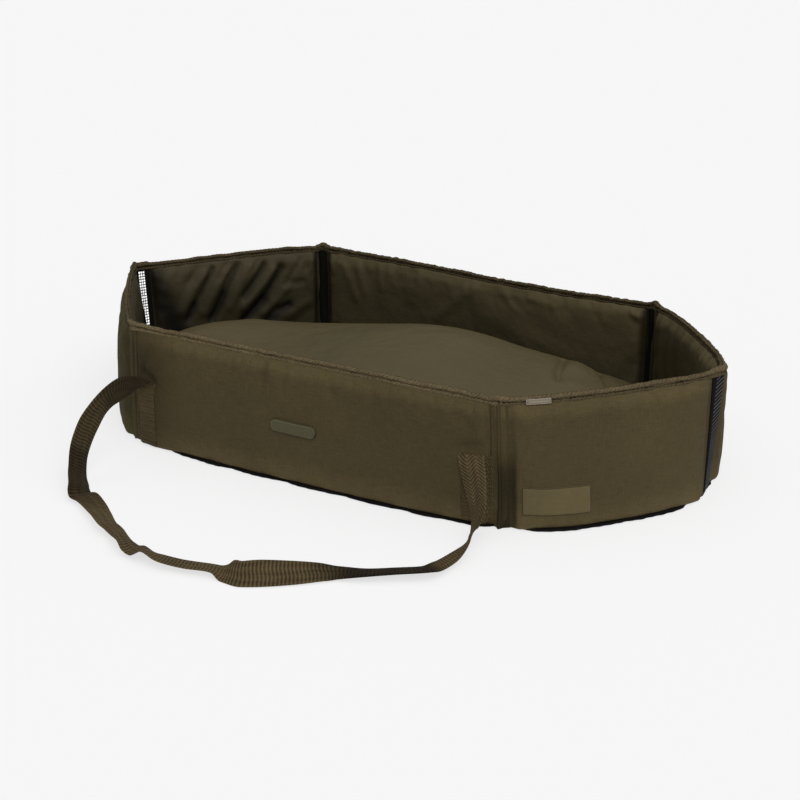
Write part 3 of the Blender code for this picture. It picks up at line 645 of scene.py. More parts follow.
def painted_glint_tape(name, pitch, share, slant, light, begin=0.0, end=(1.0, 0.0), glow=0.0):
    """Black tape with rows of small painted glints, between begin and a slanting end line across its first direction;
    glow makes them shine as painted light.
    """
    look = Look(name, 0.8, 0.1)
    u, v = look.u, look.v
    columns, rows = u / pitch[0], (u * slant + v) / pitch[1]
    # painted glints of the tape's hooks and loops
    painted_glint = columns.math("FRACT").math("LESS_THAN", share[0]) * rows.math("FRACT").math("LESS_THAN", share[1])
    painted_glint = painted_glint * u.math("GREATER_THAN", begin) * u.math("LESS_THAN", v * end[1] + end[0])
    cell = node(look.tree, "CombineXYZ", {0: columns.math("FLOOR"), 1: rows.math("FLOOR")})
    spread = node(look.tree, "TexWhiteNoise", {"Vector": cell}, noise_dimensions="2D")
    fine = look.noise(900, 2)
    level = painted_glint * (fine * 0.4 + spread * 0.5 + 0.5)
    # the glints glow: painted light
    if glow:
        lit = look.mix(level, (0, 0, 0, 1), (*light, 1))
        look.tree.links.new(lit.socket, look.bsdf.inputs["Emission Color"])
        look.bsdf.inputs["Emission Strength"].default_value = glow
    return look.finish(look.mix(level, (*BLACK_YARN, 1), (*light, 1)), fine * 0.6 + painted_glint, 0.0004)


def bordered(name, colour, length, height, inset, line):
    """Close-woven label cloth with a stitched border line."""
    look = Look(name, 0.65, 0.12)
    u, v = look.u, look.v
    fine = look.noise(700, 2)
    weft, warp = look.threads(80, 900)
    side = u.math("MINIMUM", length - u).math("MINIMUM", v.math("MINIMUM", height - v))
    stitch = ((u + v) / 0.0032).math("FRACT").math("LESS_THAN", 0.72)
    seam = (side - inset).math("ABSOLUTE").math("LESS_THAN", 0.0005) * stitch
    level = blended(0.5, (fine, 0.5), (weft, 0.5), (warp, 0.4), (look.noise(30), 0.3))
    shade = look.mix(seam, look.dyed(level, colour, 0.75, 1.25), (*line, 1))
    return look.finish(shade, blended(seam * 1.5, (fine, 1.0), (weft, 1.0)), 0.00015)


def moulded(name, colour):
    """The badge's rubber, with a raised rim round its oval that carries a painted highlight, stronger towards the top,
    and a painted shadow round its outer edge, darkest below.
    """
    look = Look(name, 0.5, 0.15)
    v = look.v
    du = ((look.u - BADGE_HALF).math("ABSOLUTE") - (BADGE_HALF - BADGE_R)).math("MAXIMUM", 0.0)
    dv = v - BADGE_R
    inside = BADGE_R - (du * du + dv * dv).math("SQRT")
    rim = 1.0 - ramp((inside - 0.0018).math("ABSOLUTE"), 0.0002, 0.0009)
    edge = (1.0 - ramp(inside, 0.0002, 0.0012)) * gain(v, 0.005, 0.015, 1.0, 0.3)
    fine = look.noise(700, 2)
    shade = look.dyed(blended(0.5, (fine, 0.6), (look.noise(60), 0.4)), colour, 0.8, 1.2)
    # painted highlight on the rim and painted shadow round the edge
    shade = times(shade, rim * gain(v, 0.003, 0.015, 0.15, 0.75) + 1.0, edge * -0.85 + 1.0)
    return look.finish(shade, rim * 3.0 + fine, 0.0002)


# painted shade in the creases of the left lining: from, to and width in millimetres, and the share of the light that is
# left
PAINTED_CREASE_SHADE_LINES = [
    (191.7, 158.3, 228, 100.2, 7, 0.5), (228, 100.2, 241.2, 76.8, 12, 0.3), (150, 156, 175.9, 114.4, 7, 0.5),
    (175.9, 114.4, 199.4, 71.6, 14, 0.25), (103.6, 154.8, 141.6, 105.8, 9, 0.4), (74.3, 147.4, 107.1, 97.2, 9, 0.33),
    (107.1, 97.2, 142.6, 62.7, 15, 0.14), (63.1, 82.1, 102.9, 56, 10, 0.3), (300, 160, 262, 60, 36, 0.22),
]
OLIVE = (0.065, 0.05, 0.023)
# the left linings: a darker copy of the lining as painted shade, with painted shade below and a painted highlight at
# the top
LEFT_LINING_PAINTED_SHADE = dict(colour=(0.049, 0.0395, 0.019), lining=True, low=0.62, top=1.1)
WIDE_RIBS = dict(pitch=0.0048, column=0.0127, force=2.0)

# The outer cloths, linings, corner cloths and binding tapes of the different sides are each one cloth, their colours
# and factors differing as painted light and shade.
M = {
    "outer": woven("outer_cloth", OLIVE, painted_highlights=(0.146, 0.162, 1.35),
                   painted_shading=[(0.015, 0.12, 0.62, 1.09), (0.25, 0.45, 1.0, 0.94)]),
    "outer_left": woven("left_outer_cloth", (0.0485, 0.0425, 0.0175), painted_highlights=(0.146, 0.162, 1.2),
                        painted_shading=[(0.015, 0.1, 0.9, 1.0)]),
    "outer_right": woven("right_outer_cloth", OLIVE, painted_highlights=(0.146, 0.162, 1.3), painted_valley_shade=(-0.2, -0.1, 0.0145, 0.0175),
                         painted_shading=[(0.015, 0.06, 1.12, 1.0), (0.12, 0.2, 1.0, 1.16), (0.27, 0.31, 1.0, 0.7)]),
    "corner": woven("corner_cloth", (0.062, 0.049, 0.023)),
    "corner_right": woven("right_corner_cloth", (0.066, 0.051, 0.024), painted_valley_shade=(0.0095, 0.012, 0.5, 0.6)),
    "inner": coated("lining_cloth", (0.056, 0.0445, 0.022), lining=True, low=0.95, top=1.35,
                    painted_shading=[(0.28, 0.5, 1.02, 1.34), (0.576, 0.586, 1.0, 0.4)]),
    "inner_left": coated("left_lining_cloth", **LEFT_LINING_PAINTED_SHADE, creases=PAINTED_CREASE_SHADE_LINES),
    "inner_front": coated("front_lining_cloth", **LEFT_LINING_PAINTED_SHADE),
    "inner_right": coated("right_lining_cloth", (0.056, 0.0455, 0.0225), lining=True, top=1.8,
                          painted_shading=[(0.1, 0.24, 1.0, 1.3)]),
    "binding": gathered("binding_tape", (0.12, 0.091, 0.048)),
    "binding_right": gathered("right_binding_tape", (0.105, 0.08, 0.043), deep=0.92, lower=0.72, tip=0.294),
    "binding_rear": gathered("rear_binding_tape", (0.077, 0.059, 0.031), deep=0.85, lower=0.8),
    "cushion": coated("cushion_cloth", (0.081, 0.0655, 0.03), ripple=1.5),
    "webbing": webbing("band_webbing", (0.064, 0.0465, 0.021)),
    # painted shade and painted highlights along the front strap
    "strap": webbing("handle_webbing", (0.084, 0.0605, 0.029), **WIDE_RIBS,
                     painted_shading=[(0.075, 0.095, 0.36, 0.6), (0.15, 0.168, 1.0, 0.48), (0.235, 0.275, 1.0, 2.4),
                             (0.28, 0.35, 1.0, 1.5), (0.4, 0.44, 1.0, 0.9), (0.685, 0.76, 1.0, 0.14),
                             (0.845, 0.875, 1.0, 7.5)]),
    "strap_rear": webbing("rear_handle_webbing", (0.076, 0.056, 0.027), **WIDE_RIBS, painted_shading=[(0.1, 0.3, 0.75, 1.0)]),
    "black": woven("black_tape_cloth", (0.0065, 0.006, 0.0055), grain=0.35, specular=0.06, sheen=0.0),
    "base": woven("base_coating_cloth", (0.008, 0.008, 0.008), roughness=0.5, specular=0.2, sheen=0.0, mapped=False),
    "liner": woven("floor_liner_cloth", (0.05, 0.041, 0.021), mapped=False),
    # painted glints: white marks that glow
    "hook": painted_glint_tape("hook_tape_cloth", (0.0046, 0.0046), (0.68, 0.68), 0.0, (1.0, 1.0, 1.0), begin=0.0084,
                        end=(0.0073, 0.118), glow=0.8),
    "loop": painted_glint_tape("loop_tape_cloth", (0.03, 0.0058), (1.0, 0.24), -0.75, (0.12, 0.12, 0.13), begin=0.0075),
    "label": bordered("label_cloth", (0.105, 0.082, 0.038), 0.088, 0.0382, 0.0008, (0.02, 0.016, 0.008)),
    "badge": moulded("badge_rubber_grain", (0.072, 0.066, 0.034)),
    "tag": bordered("tag_satin", (0.24, 0.21, 0.16), 0.032, 0.0068, 0.0018, (0.12, 0.1, 0.075)),
}


# ---- walls
def wall_z():
    """Heights of a wall's rows of points, close together at its foot and round its sewn top."""
    low = FOOT + np.array([0, 1.5, 4, 8, 13]) / 1000
    top = PAD_TOP + np.array([-16, -12, -8.5, -5.5, -3, -1, 0.5, 4]) / 1000
    return np.concatenate([low, np.linspace(low[-1], top[0], 28)[1:-1], top, [COVER_TOP]])


def fill_wall(panel):
    """Blows up the wall's two cloths between their seams and keeps how far each point moved out."""
    u = np.linspace(*panel.ends, int(panel.length / 0.0055))
    z = np.unique(np.concatenate([[FOOT, FOOT + 0.003], np.linspace(FOOT + 0.008, PAD_TOP - 0.012, 24),
                                  np.linspace(PAD_TOP - 0.009, COVER_TOP, 5)]))
    uu, zz = grid(u, z)
    trial = shell(panel.name + "_trial", panel.face(uu, zz, 1), panel.face(uu, zz, -1), stacked(uu, zz), None,
                  M["outer"])
    share = np.tile(panel.pad(uu, zz).ravel(), 2)
    foot = np.tile(swell(zz - FOOT, 0.01).ravel(), 2)
    hold = 1 - smooth(np.minimum(share, foot) * 1.6)
    sewn = [(k, float(w)) for k, w in enumerate(hold) if w > 0.02]
    moved = blown(trial.data, sewn, pressure=2.0, slack=0.016, frames=14)
    step = capped(moved - rest_points(trial.data), WALL_PUFF)
    outward = (step[:, :2] @ panel.out * (1 - hold)).reshape(2, *uu.shape)
    bpy.data.objects.remove(trial)
    panel.grid = (u, z, {1: outward[0], -1: -outward[1]})


def make_wall(panel):
    fill_wall(panel)
    uu, zz = grid(stations(*panel.ends, 0.005, 0.0025, 0.04), wall_z())
    place = "" if panel.name.endswith("wall") else "_left" if "left" in panel.name else "_right"
    inner = "inner_front" if panel.name == "front_left_end" else "inner" + place
    obj = shell(panel.name + "_padded", panel.face(uu, zz, 1), panel.face(uu, zz, -1), stacked(uu, zz), panel.name,
                M["outer" + place], flip=LINED, lining=M[inner])
    rounded(obj)
    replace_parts(obj, panel.name + "_cover", panel.name + "_board")


def rim_rings(at, u, seed, knot=None):
    """Rings of the folded tape; at(u, n, z) gives places. Its stitching gathers it, and knot thickens it."""
    n, z = RIM[:, 0][None, :], RIM[:, 1][None, :]
    uu = u[:, None]
    side = np.sign(n) * 0.5 + np.where(RIM_UPPER, 0.31, 0)[None, :]
    pinch = np.abs(np.sin(np.pi * (uu + 0.002 * waves(uu, side, seed + 6, 0.03)) / PINCH + side * 4)) - 0.6
    roll = pinch * 0.0008 + (waves(uu, side, seed, 0.011, 5) + waves(uu, side, seed + 1, 0.03, 5)) * 0.0006
    rise = waves(uu, n * 0, seed + 2, 0.016, 5) * 0.0007 + waves(uu, n * 0, seed + 3, 0.08, 4) * 0.0010
    big = knot(uu) if knot else 0
    grow = (1 + roll / 0.0036 * (np.abs(n) > 0.001)) * (1 + 0.3 * big)
    top = np.clip(1 + z / 0.004, 0, 1)
    lift = (rise + pinch * 0.0006 * top) * (z > -0.006) - 0.0008 + 0.0022 * big * top
    return at(uu + waves(uu, n, seed + 4, 0.01) * 0.0006, n * grow, H + z + lift)


def make_rim(panel):
    u = np.arange(*panel.ends, 0.0013)
    u[-1] = panel.ends[1]
    knot = (lambda at: smooth((at - panel.length + 0.026) / 0.006)) if panel.tip else None
    kind = "binding" if panel.name == "front_wall" else "binding_right" if "right" in panel.name else "binding_rear"
    rings = rim_rings(panel.at, u, panel.seed, knot)
    obj = sweep(panel.name + "_rim", rings, u, panel.name, M[kind])
    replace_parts(obj, panel.name + "_binding")


def patch(name, panel, u0, u1, z0, z1, thick, kind, side=1, lift=0.0002, shape=None, step=0.004, relief=None):
    """A flat piece sewn on a wall, following its surface, with a softened edge."""
    u, z = (np.concatenate([[a], np.linspace(a + SOFT_EDGE, b - SOFT_EDGE, max(int((b - a) / step), 3)), [b]])
            for a, b in ((u0, u1), (z0, z1)))
    uu, zz = grid(u, z)
    if shape:
        uu, zz = shape(uu, zz)
    high = np.full(uu.shape, thick) + (relief(uu, zz) if relief else 0)
    high[0, :] = high[-1, :] = high[:, 0] = high[:, -1] = thick * 0.45
    front, back = panel.face(uu, zz, side, lift + high), panel.face(uu, zz, side, lift - SUNK)
    obj = shell(name + "_piece", front, back, stacked(uu - u0, zz - z0), panel.name, M[kind])
    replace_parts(obj, name)


# ---- corners
def make_hinge(name, wall, end, corner):
    """The unpadded fabric that bends at a corner, joined to both walls."""
    z = np.concatenate([np.linspace(FOOT, PAD_TOP, 26), [PAD_TOP + 0.002]])
    s = np.array([1, 0.8, 0.6, 0.42, 0.27, 0.14, 0.05]) * HINGE_REACH
    path = [wall.at(k, 0, z) for k in wall.from_corner(corner, s)] + [end.at(k, 0, z) for k in s[::-1]]
    path = relaxed(np.array(path), 1)
    tangent = np.gradient(path, axis=0)
    normal = unit(np.stack([tangent[..., 1], -tangent[..., 0], np.zeros(tangent.shape[:2])], -1))
    if normal[0, 0, :2] @ wall.out < 0:
        normal = -normal
    row = np.arange(len(path))[:, None]
    pit = 0.0046 * bell(row - 9.6, 1.7) * (1 - 0.55 * smooth((z - 0.09) / 0.06)) * smooth(z / 0.02)
    spill = 0.007 * np.sin(np.pi * row / (len(path) - 1)) ** 2 * (1 - smooth(z / 0.03)) * (corner == "F")
    path = path + normal * (spill - pit)[..., None]
    half = 0.0024 + 0.0002 * np.sin(z * 90 + len(name))[None, :, None]
    k = np.abs(row - (len(path) - 1) / 2)[..., None]
    dent = 0.0014 * bell(k, 1.1) - 0.0011 * bell(k - 2.6, 1.2)
    steps = np.concatenate([[0], np.cumsum(np.linalg.norm(np.diff(path[:, 0], axis=0), axis=1))])
    # F's corner cloth carries painted shade in its valley
    cloth, lining = M["corner_right" if corner == "F" else "corner"], M["inner_left"] if corner in "CD" else None
    obj = shell(name, path + normal * (half + dent), path - normal * half, stacked(*grid(steps, z)), None, cloth,
                flip=LINED + 0.008, lining=lining)
    bridge(obj, wall, end, corner)


def bridge(obj, wall, end, corner):
    """Bakes the piece's transform into its mesh; the points either side of the corner that it works out are not used.
    """
    c = np.array([*CORNERS[corner], 0.09])
    from_corner = wall.along if corner in "AC" else -wall.along
    toward = unit(np.array([*(end.along - from_corner), 0]))
    tuple(c - toward * 0.009)
    tuple(c + toward * 0.009)
    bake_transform(obj)


def make_corner_rim(name, wall, end, corner):
    """The rim tape where it turns the corner."""
    step = 0.0012
    s = np.arange(0.012, 0.0004, -step)
    rings = np.concatenate([rim_rings(wall.at, wall.from_corner(corner, s), 3), rim_rings(end.at, s[::-1], 4)])
    middle = rings.mean(1, keepdims=True)
    rear = corner in "CD"
    k = np.arange(len(rings)) - len(rings) / 2 + 0.5
    lump = bell(k, 4.2)[:, None, None] * (0.35 if rear else 0.1)
    rings = middle + (rings - middle) * (np.array([1.06, 1.06, 1.03]) + lump) + lump * np.array([0, 0, 0.006])
    kind = "binding_rear" if rear else "binding"
    obj = sweep(name, relaxed(rings, 3), np.arange(len(rings)) * step, None, M[kind])
    bridge(obj, wall, end, corner)


# the corner tape's section, in millimetres across it and in from the corner
CORNER_TAPE = [(-6.2, 4.6), (-5.6, 6.2), (-3.8, 7.6), (-1.6, 8.6), (0, 8.9), (1.6, 8.6), (3.8, 7.6), (5.6, 6.2),
               (6.2, 4.6), (3, 4.2), (0, 3.2), (-3, 4.2)]


def make_corner_tape(name, wall, end, corner):
    """Black bound strip inside a corner, running up over the rim."""
    inward = unit(-(wall.out + end.out))
    across = np.array([inward[1], -inward[0]])
    high = PAD_TOP + (0.002 if wall.name == "rear_wall" else -0.001)
    z = np.concatenate([np.linspace(0.014, PAD_TOP - 0.004, 30), np.linspace(PAD_TOP - 0.003, high, 12)])
    rings = []
    for k, h in enumerate(z):
        x, y, up = wall.at(wall.from_corner(corner, 0.0), 0, h)
        grow = 1 + 0.05 * math.sin(k * 0.9) + 0.1 * smooth((h - PAD_TOP) / 0.004)
        grow -= 0.5 * smooth((h - H + 0.001) / 0.004)
        if corner == "C":
            grow *= 1.2
        if corner == "D":
            grow *= 0.7 + 0.15 * smooth((h - 0.1) / 0.07)
        sway = 0.0006 * math.sin(h * 70 + len(name))
        deep = 1 if h < PAD_TOP + 0.003 else 0.85
        rings.append([[*((x, y) + across * (a * grow / 1000 + sway) + inward * (d * deep / 1000)), up]
                      for a, d in CORNER_TAPE])
    obj = sweep(name + "_piece", np.array(rings), z, wall.name, M["black"])
    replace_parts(obj, name)


# ---- handles: the strap's middle line in millimetres (across, out, up) and the way across its width in hundredths
ROUTE = [
    (-267, 270, 97, 100, 1, 3), (-267, 274, 96, 80, 3, 60), (-268, 293, 99, 47, -9, 88),
    (-266, 320, 104, 15, -8, 99), (-268, 342, 100, 10, 42, 90), (-273, 360, 88, 0, 73, 69),
    (-277, 377, 70, -13, 77, 62), (-277, 393, 51, -11, 81, 57), (-273, 407, 34, -7, 81, 58),
    (-263, 422, 16, -5, 83, 56), (-243, 443, 9, 7, 93, 36), (-227, 460, 4, 6, 98, 17), (-210, 465, 5, 11, 99, 7),
    (-187, 478, 5, 9, 98, 17), (-159, 497, 6, 21, 95, 24), (-131, 517, 6, 34, 91, 24), (-117, 523, 5, 47, 86, 19),
    (-102, 531, 5, 49, 85, 19), (-80, 546, 6, 46, 85, 26), (-62, 556, 4, 46, 88, 16), (-49, 559, 4, 52, 84, 16),
    (-32, 561, 9, 53, 78, 33), (-6, 564, 7, 61, 77, 20), (28, 559, 5, 60, 78, 19), (61, 551, 5, 64, 75, 18),
    (81, 550, 3, 56, 83, -5), (107, 554, 9, 54, 73, -41), (130, 543, 11, 50, 68, -53), (159, 519, 9, 52, 76, -39),
    (184, 494, 6, 55, 82, -16), (200, 479, 3, 52, 86, 3), (230, 466, 5, 45, 87, 19), (260, 446, 6, 42, 88, 23),
    (291, 425, 7, 49, 84, 24), (298, 401, 4, 49, 86, 16), (302, 372, 4, 48, 86, 16), (302, 341, 6, 42, 86, 27),
    (295, 315, 8, 48, 80, 35), (292, 300, 16, 65, 65, 41), (291, 292, 35, 80, 44, 42), (286, 286, 51, 88, 28, 38),
    (279, 280, 71, 94, 11, 32), (271, 274, 92, 99, -3, 17), (269, 270, 99, 100, -1, 2),
]


def catmull(rows, steps):
    """A smooth curve through the rows, with so many steps from each to the next."""
    padded = np.concatenate([rows[:1], rows, rows[-1:]])
    out = []
    for k in range(len(rows) - 1):
        p, a, b, q = padded[k:k + 4]
        for t in np.arange(steps) / steps:
            bend = (2 * p - 5 * a + 4 * b - q) * t * t + (3 * a - p - 3 * b + q) * t ** 3
            out.append(0.5 * (2 * a + (b - p) * t + bend))
    return np.array(out + [rows[-1]])


def make_handle(row, side):
    name, thick = row + "_handle", 0.0018
    rows = catmull(np.array(ROUTE) / ([1000] * 3 + [100] * 3), 8) * [1, side, 1, 1, side, 1]
    centre, width = rows[:, :3], rows[:, 3:]
    tangent = unit(np.gradient(centre, axis=0))
    width = unit(width - tangent * (width * tangent).sum(1, keepdims=True) * 0.5)
    normal = unit(np.cross(tangent, width))[:, None]
    across = np.linspace(-1, 1, 11)
    curl = 0.0006 * np.outer(np.sin(np.arange(len(rows)) * 0.11), across ** 2 - 0.3)[..., None]
    edge = (thick / 2 * np.sqrt(1 - np.abs(across) ** 8 * 0.8))[:, None]
    mid = centre[:, None] + width[:, None] * (across * WEB / 2)[:, None] + normal * curl
    top, low = mid + normal * edge, mid - normal * edge
    floor = np.minimum(top[..., 2], low[..., 2]).min(1)
    lift = np.clip(0.0003 - floor, 0, None)[:, None]
    top[..., 2] += lift
    low[..., 2] += lift
    length = np.concatenate([[0], np.cumsum(np.linalg.norm(np.diff(centre, axis=0), axis=1))])
    uv = stacked(*grid(length, (across + 1) * WEB / 2))
    obj = shell(name + "_strap", top, low, uv, name, M["strap" if side < 0 else "strap_rear"])
    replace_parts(obj, name)
    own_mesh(obj)


# ---- cushion
CROWN_X = np.linspace(-0.44, 0.44, 12)
CROWN_Z = [0.113, 0.106, 0.085, 0.089, 0.103, 0.119, 0.1206, 0.104, 0.097, 0.0764, 0.0758, 0.0758]
# lumps of the filling: across, out, radius and height, in metres
LOBES = [(0.235, 0.15, 0.03, 0.006), (0.235, 0.1, 0.018, -0.007), (-0.1, 0.02, 0.05, 0.002),
         (0.06, -0.06, 0.06, -0.003)]
CREASES = ridge_lines([
    (5.5, -6.5, 190, 165, 203, 135, 214, 100, 228, 70), (12, 3, 212, 172, 232, 125, 250, 85),
    (6, -9, 240, 190, 262, 158, 285, 130), (12, -2, 150, 50, 210, -20), (20, 2, -340, 100, -200, 50, -60, 60),
])
HALF_WIDTH, HALF_TIP, CORNER_X, TIP_X = 0.228, 0.03, 0.285, 0.452
BOTTOM, SEAM, EDGE = 0.0134, 0.028, 0.0441  # heights of the underside, of the seam and of the top beside it


def cushion_half(x):
    """Half the cushion's width at x."""
    x = np.abs(x)
    s = np.clip((x - CORNER_X) / (TIP_X - CORNER_X), 0, 1)
    flat = HALF_WIDTH - 0.005 * (1 - np.clip(x / CORNER_X, 0, 1) ** 2)
    return np.where(x < CORNER_X, flat, HALF_WIDTH + (HALF_TIP - HALF_WIDTH) * s - 0.004 * np.sin(np.pi * s))


def cushion_top(x, y):
    """Height of the top: full along the middle, thin at the seams and corners."""
    slant = unit(np.array([HALF_WIDTH - HALF_TIP, TIP_X - CORNER_X]))
    full = swell(HALF_WIDTH - np.abs(y), 0.15) * swell(TIP_X - np.abs(x), 0.03)
    for a in (x, -x):
        for b in (y, -y):
            full = full * swell((CORNER_X - a) * slant[0] + (HALF_WIDTH - b) * slant[1], 0.15)
    crown = np.mean([np.interp(x + d, CROWN_X, CROWN_Z) for d in np.linspace(-0.035, 0.035, 7)], 0)
    lobes = sum(h * bell(np.hypot(x - cx, y - cy), r) for cx, cy, r, h in LOBES)
    return EDGE + (crown - EDGE) * full + lobes


def fill_cushion(obj):
    """Blows up the cushion's cloth, its underside held, and presses its creases in."""
    voxels = obj.modifiers.new("voxels", "REMESH")
    voxels.mode, voxels.voxel_size, voxels.use_smooth_shade = "VOXEL", 0.005, True
    mesh = bpy.data.meshes.new_from_object(obj.evaluated_get(bpy.context.evaluated_depsgraph_get()))
    obj.modifiers.clear()
    rest = rest_points(mesh)
    held = [(k, 1.0) for k in np.nonzero(rest[:, 2] < BOTTOM + 0.0015)[0].tolist()]
    points = rest + capped(blown(mesh, held, pressure=3.0, slack=0.02, frames=20) - rest, CUSHION_PUFF)
    folded = strokes(points[:, 0], points[:, 1], CREASES) - 0.0055 * smooth((rest[:, 2] - 0.045) / 0.02)
    points[:, 2] = np.maximum(points[:, 2] + folded * (rest[:, 2] > 0.03), BOTTOM)
    mesh.vertices.foreach_set("co", points.ravel())
    mesh.update()
    obj.data = mesh


def make_cushion():
    ss, tt = grid(*(np.sin(np.linspace(-1, 1, count) * math.pi / 2) for count in (141, 81)))
    x = ss * TIP_X
    y = tt * cushion_half(x)
    inside = np.minimum(1 - np.abs(ss), (1 - np.abs(tt)) * 0.5) * TIP_X
    under = SEAM + (BOTTOM - SEAM) * swell(inside, 0.012)
    top = np.maximum(SEAM + (cushion_top(x, y) - SEAM) * swell(inside, 0.014), under + 0.0002)
    obj = shell("cushion_pillow", stacked(x, y, top), stacked(x, y, under), stacked(x, y), "cushion", M["cushion"],
                flip=1.3)
    fill_cushion(obj)
    rounded(obj)
    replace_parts(obj, "cushion_cover", "cushion_core")
    a, b = grid(np.linspace(-0.16, 0.16, 20), np.linspace(-0.006, 0.006, 4))
    strip = shell("cushion_closing_strip", stacked(a, b, BOTTOM + 0.0004), stacked(a, b, BOTTOM - 0.0004),
                  stacked(a, b), "cushion", M["black"])
    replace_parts(strip, "cushion_closure")


# ---- base: sheet, bound edge and the thin foam floor under its lining
GROUND_SHEET = [(0.0005, 0.0), (0.5, 0.0), (0.97, 0.0), (1, 0.0006), (1, 0.0024), (0.97, 0.003), (0.0005, 0.003)]
FLOOR_PAD = [(0.0005, 0.0034), (0.6, 0.0034), (0.97, 0.0036), (1, 0.006), (0.998, 0.0105), (0.985, 0.0122),
             (0.9, 0.0126), (0.5, 0.0126), (0.0005, 0.0126)]
EDGE_TAPE = [(-7, 0.3), (3, 0), (11.6, 0.05), (13, 0.8), (13.4, 2), (12.6, 3.1), (10.5, 3.6), (2, 3.8), (-7, 4.4)]
ROUND_THE_BASE = {"front_wall": 1, "front_right_end": 1, "rear_right_end": -1, "rear_wall": -1, "rear_left_end": 1,
                  "front_left_end": -1}


def perimeter(n, step=0.006):
    """Points round the base under the walls, n outside their middle, and how far each is tucked under."""
    points, tucks = [], []
    for name, way in ROUND_THE_BASE.items():
        panel = PANELS[name]
        u = np.linspace(0, panel.length, int(panel.length / step))[::way][:-1]
        tuck = panel.tucked(u)
        points.append(panel.at(u, n - 0.012 * tuck, 0.0 * u)[:, :2])
        tucks.append(tuck)
    points = np.concatenate(points)
    for _ in range(2):
        points = points * 0.5 + (np.roll(points, 1, 0) + np.roll(points, -1, 0)) * 0.25
    return points, np.concatenate(tucks)


def disc(name, n, profile, kind):
    """A flat piece: rings at shares of the outline and heights, closed in the middle by a pin hole."""
    rings = np.array([[[x * r, y * r, z] for r, z in profile] for x, y in perimeter(n)[0]])
    return sweep(name, rings, np.arange(len(rings)) * 0.006, "base", M[kind], closed=True)


def make_base():
    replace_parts(disc("base_ground_sheet", -0.004, GROUND_SHEET, "base"), "base_sheet")
    pad = disc("base_floor_pad", -0.014, FLOOR_PAD, "liner")
    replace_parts(pad, "base_foam", "floor_liner")
    step = 0.004
    edge, tuck = perimeter(0.0, step)
    along = np.arange(len(edge)) * step
    forward = np.roll(edge, -1, 0) - np.roll(edge, 1, 0)
    normal = unit(np.stack([forward[:, 1], -forward[:, 0]], 1))[:, None]
    grow = (1 + 0.175 * waves(along, 0 * along, 71, 0.045) + 0.075 * waves(along, 0 * along, 72, 0.015))[:, None]
    out, up = np.array(EDGE_TAPE).T / 1000
    out = out * np.where(out > 0, grow, 1)
    xy = edge[:, None] + normal * out[..., None]
    rings = np.concatenate([xy, (up * grow * (1 - 0.35 * tuck[:, None]))[..., None]], -1)
    tape = sweep("base_bound_edge", rings, along, "base", M["black"], closed=True)
    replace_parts(tape, "base_binding")


# ---- tapes, badge and labels
def tapered(uu, zz):
    """The loop tape's free edge runs in towards the tip lower down."""
    return uu + 0.005 * (uu.max() - uu) / (uu.max() - uu.min()) * (1 - zz / H), zz


def oval(uu, zz):
    """Rounds the badge's ends."""
    du = np.clip(np.abs(uu - BADGE_U) - (BADGE_HALF - BADGE_R), 0, BADGE_R)
    return uu, BADGE_Z + (zz - BADGE_Z) * np.sqrt(np.clip(1 - (du / BADGE_R) ** 2, 0.02, 1))


def rimmed(uu, zz):
    """The badge's raised rim and a shallow oval in its field."""
    du = np.abs(uu - BADGE_U)
    inside = BADGE_R - np.hypot(np.clip(du - (BADGE_HALF - BADGE_R), 0, None), zz - BADGE_Z)
    inner = 0.0055 - np.hypot(np.clip(du - 0.024, 0, None), zz - BADGE_Z)
    return 0.0007 * bell(inside - 0.0011, 0.0009) - 0.0003 * smooth(inner / 0.001)


# ---- build
for panel in PANELS.values():
    make_wall(panel)
    make_rim(panel)

for corner, row, hand in (("A", "front", "left"), ("F", "front", "right"), ("C", "rear", "left"),
                          ("D", "rear", "right")):
    both = PANELS[row + "_wall"], PANELS[f"{row}_{hand}_end"]
    place = f"{row}_{hand}_corner_"
    make_hinge(place + "cloth", *both, corner)
    make_corner_rim(place + "rim", *both, corner)
    make_corner_tape(place + "tape", *both, corner)

for row, side in (("front", -1), ("rear", 1)):
    for hand, u in (("left", 0.0325), ("right", 0.573)):
        patch(f"{row}_band_{hand}", PANELS[row + "_wall"], u - WEB / 2, u + WEB / 2, 0.0052, 0.098, 0.0016, "webbing")
    make_handle(row, side)

for row, kind, side, wide, stop, shape in (("front", "loop", 1, 0.0205, 0.002, tapered),
                                           ("rear", "hook", -1, 0.0225, 0.0005, None)):
    for hand in ("left", "right"):
        panel = PANELS[f"{row}_{hand}_end"]
        patch(f"{row}_{hand}_{kind}_tape", panel, panel.length - wide, panel.length - stop, 0.0068, 0.1675, 0.0015,
              kind, side=side, shape=shape)

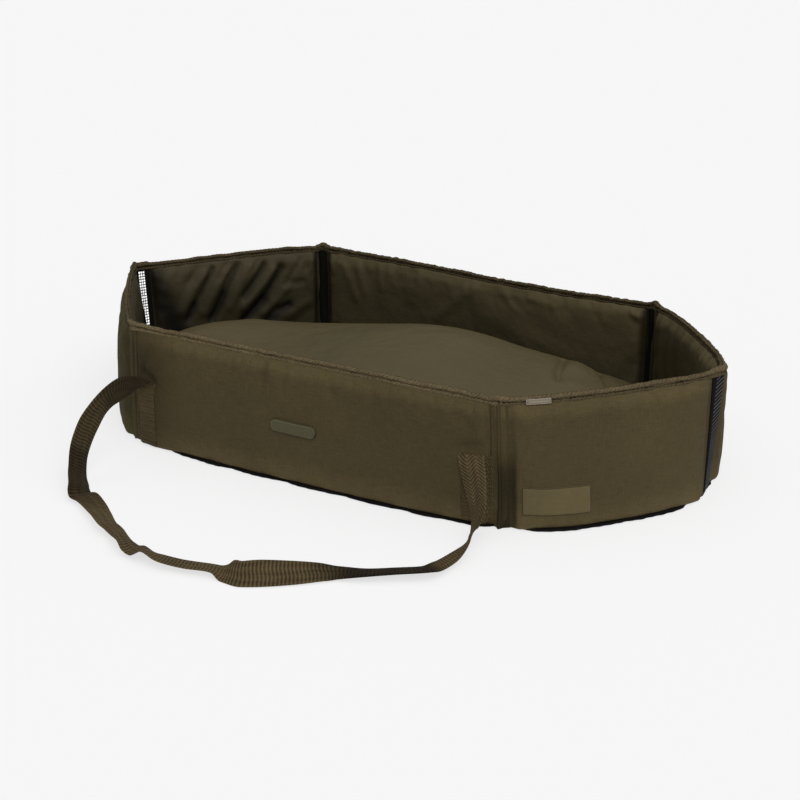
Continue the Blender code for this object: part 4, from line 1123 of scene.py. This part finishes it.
front, right = PANELS["front_wall"], PANELS["front_right_end"]
patch("front_badge", front, 0.26, 0.335, 0.0735, 0.0915, 0.0018, "badge", shape=oval, step=0.0015,
      relief=rimmed)
patch("care_label", right, 0.0205, 0.1085, 0.0225, 0.0607, 0.0008, "label")
patch("size_tag", right, 0.0315, 0.0635, 0.1695, 0.1763, 0.0012, "tag", lift=0.0026)
make_cushion()
make_base()


# ---- stage
def make_stage():
    """White floor and sky, one broad sun, and the camera that was fitted to the photo."""
    scene = bpy.context.scene
    bpy.ops.mesh.primitive_plane_add(size=60, location=(0, 0, -0.0006))
    floor = bpy.context.object
    floor.name = "studio_floor"
    paper = Look("floor_paper", 0.95, 0.0, mapped=False)
    paper.bsdf.inputs["Base Color"].default_value = (0.25, 0.25, 0.25, 1)
    paper.bsdf.inputs["Emission Color"].default_value = (1, 1, 1, 1)
    paper.bsdf.inputs["Emission Strength"].default_value = 0.69
    floor.data.materials.append(paper.material)
    scene.world = bpy.data.worlds.new("studio")
    scene.world.use_nodes = True
    tree = scene.world.node_tree
    x, z = (node(tree, "SeparateXYZ", {0: node(tree, "TexCoord", output="Generated")}, axis) for axis in (0, 2))
    strength = (z.math("MAXIMUM", 0.0) * 0.84 + 0.1) * (x * 0.45 + 1.0)
    sky = tree.nodes["Background"].inputs
    sky["Color"].default_value = (1, 1, 1, 1)
    tree.links.new(strength.socket, sky["Strength"])
    key = bpy.data.lights.new("key", "SUN")
    key.energy, key.angle = 1.2, math.radians(50)
    sun = bpy.data.objects.new("key", key)
    sun.rotation_euler = Vector((-0.5, 0.45, -0.75)).to_track_quat("-Z", "Y").to_euler()
    az, el, distance = math.radians(30.91), math.radians(20.95), 2.42
    back = Vector((math.sin(az) * math.cos(el), -math.cos(az) * math.cos(el), math.sin(el)))
    right = Vector((math.cos(az), math.sin(az), 0))
    lens = bpy.data.cameras.new("photo_camera")
    lens.lens, lens.sensor_width, lens.clip_end = 72, 36, 100
    lens.shift_x, lens.shift_y = 0.001, 0.029
    camera = bpy.data.objects.new("photo_camera", lens)
    camera.matrix_world = Matrix((right, back.cross(right), back)).transposed().to_4x4()
    camera.location = back * distance
    scene.collection.objects.link(sun)
    scene.collection.objects.link(camera)
    scene.camera = camera
    scene.view_settings.view_transform = "Standard"


make_stage()
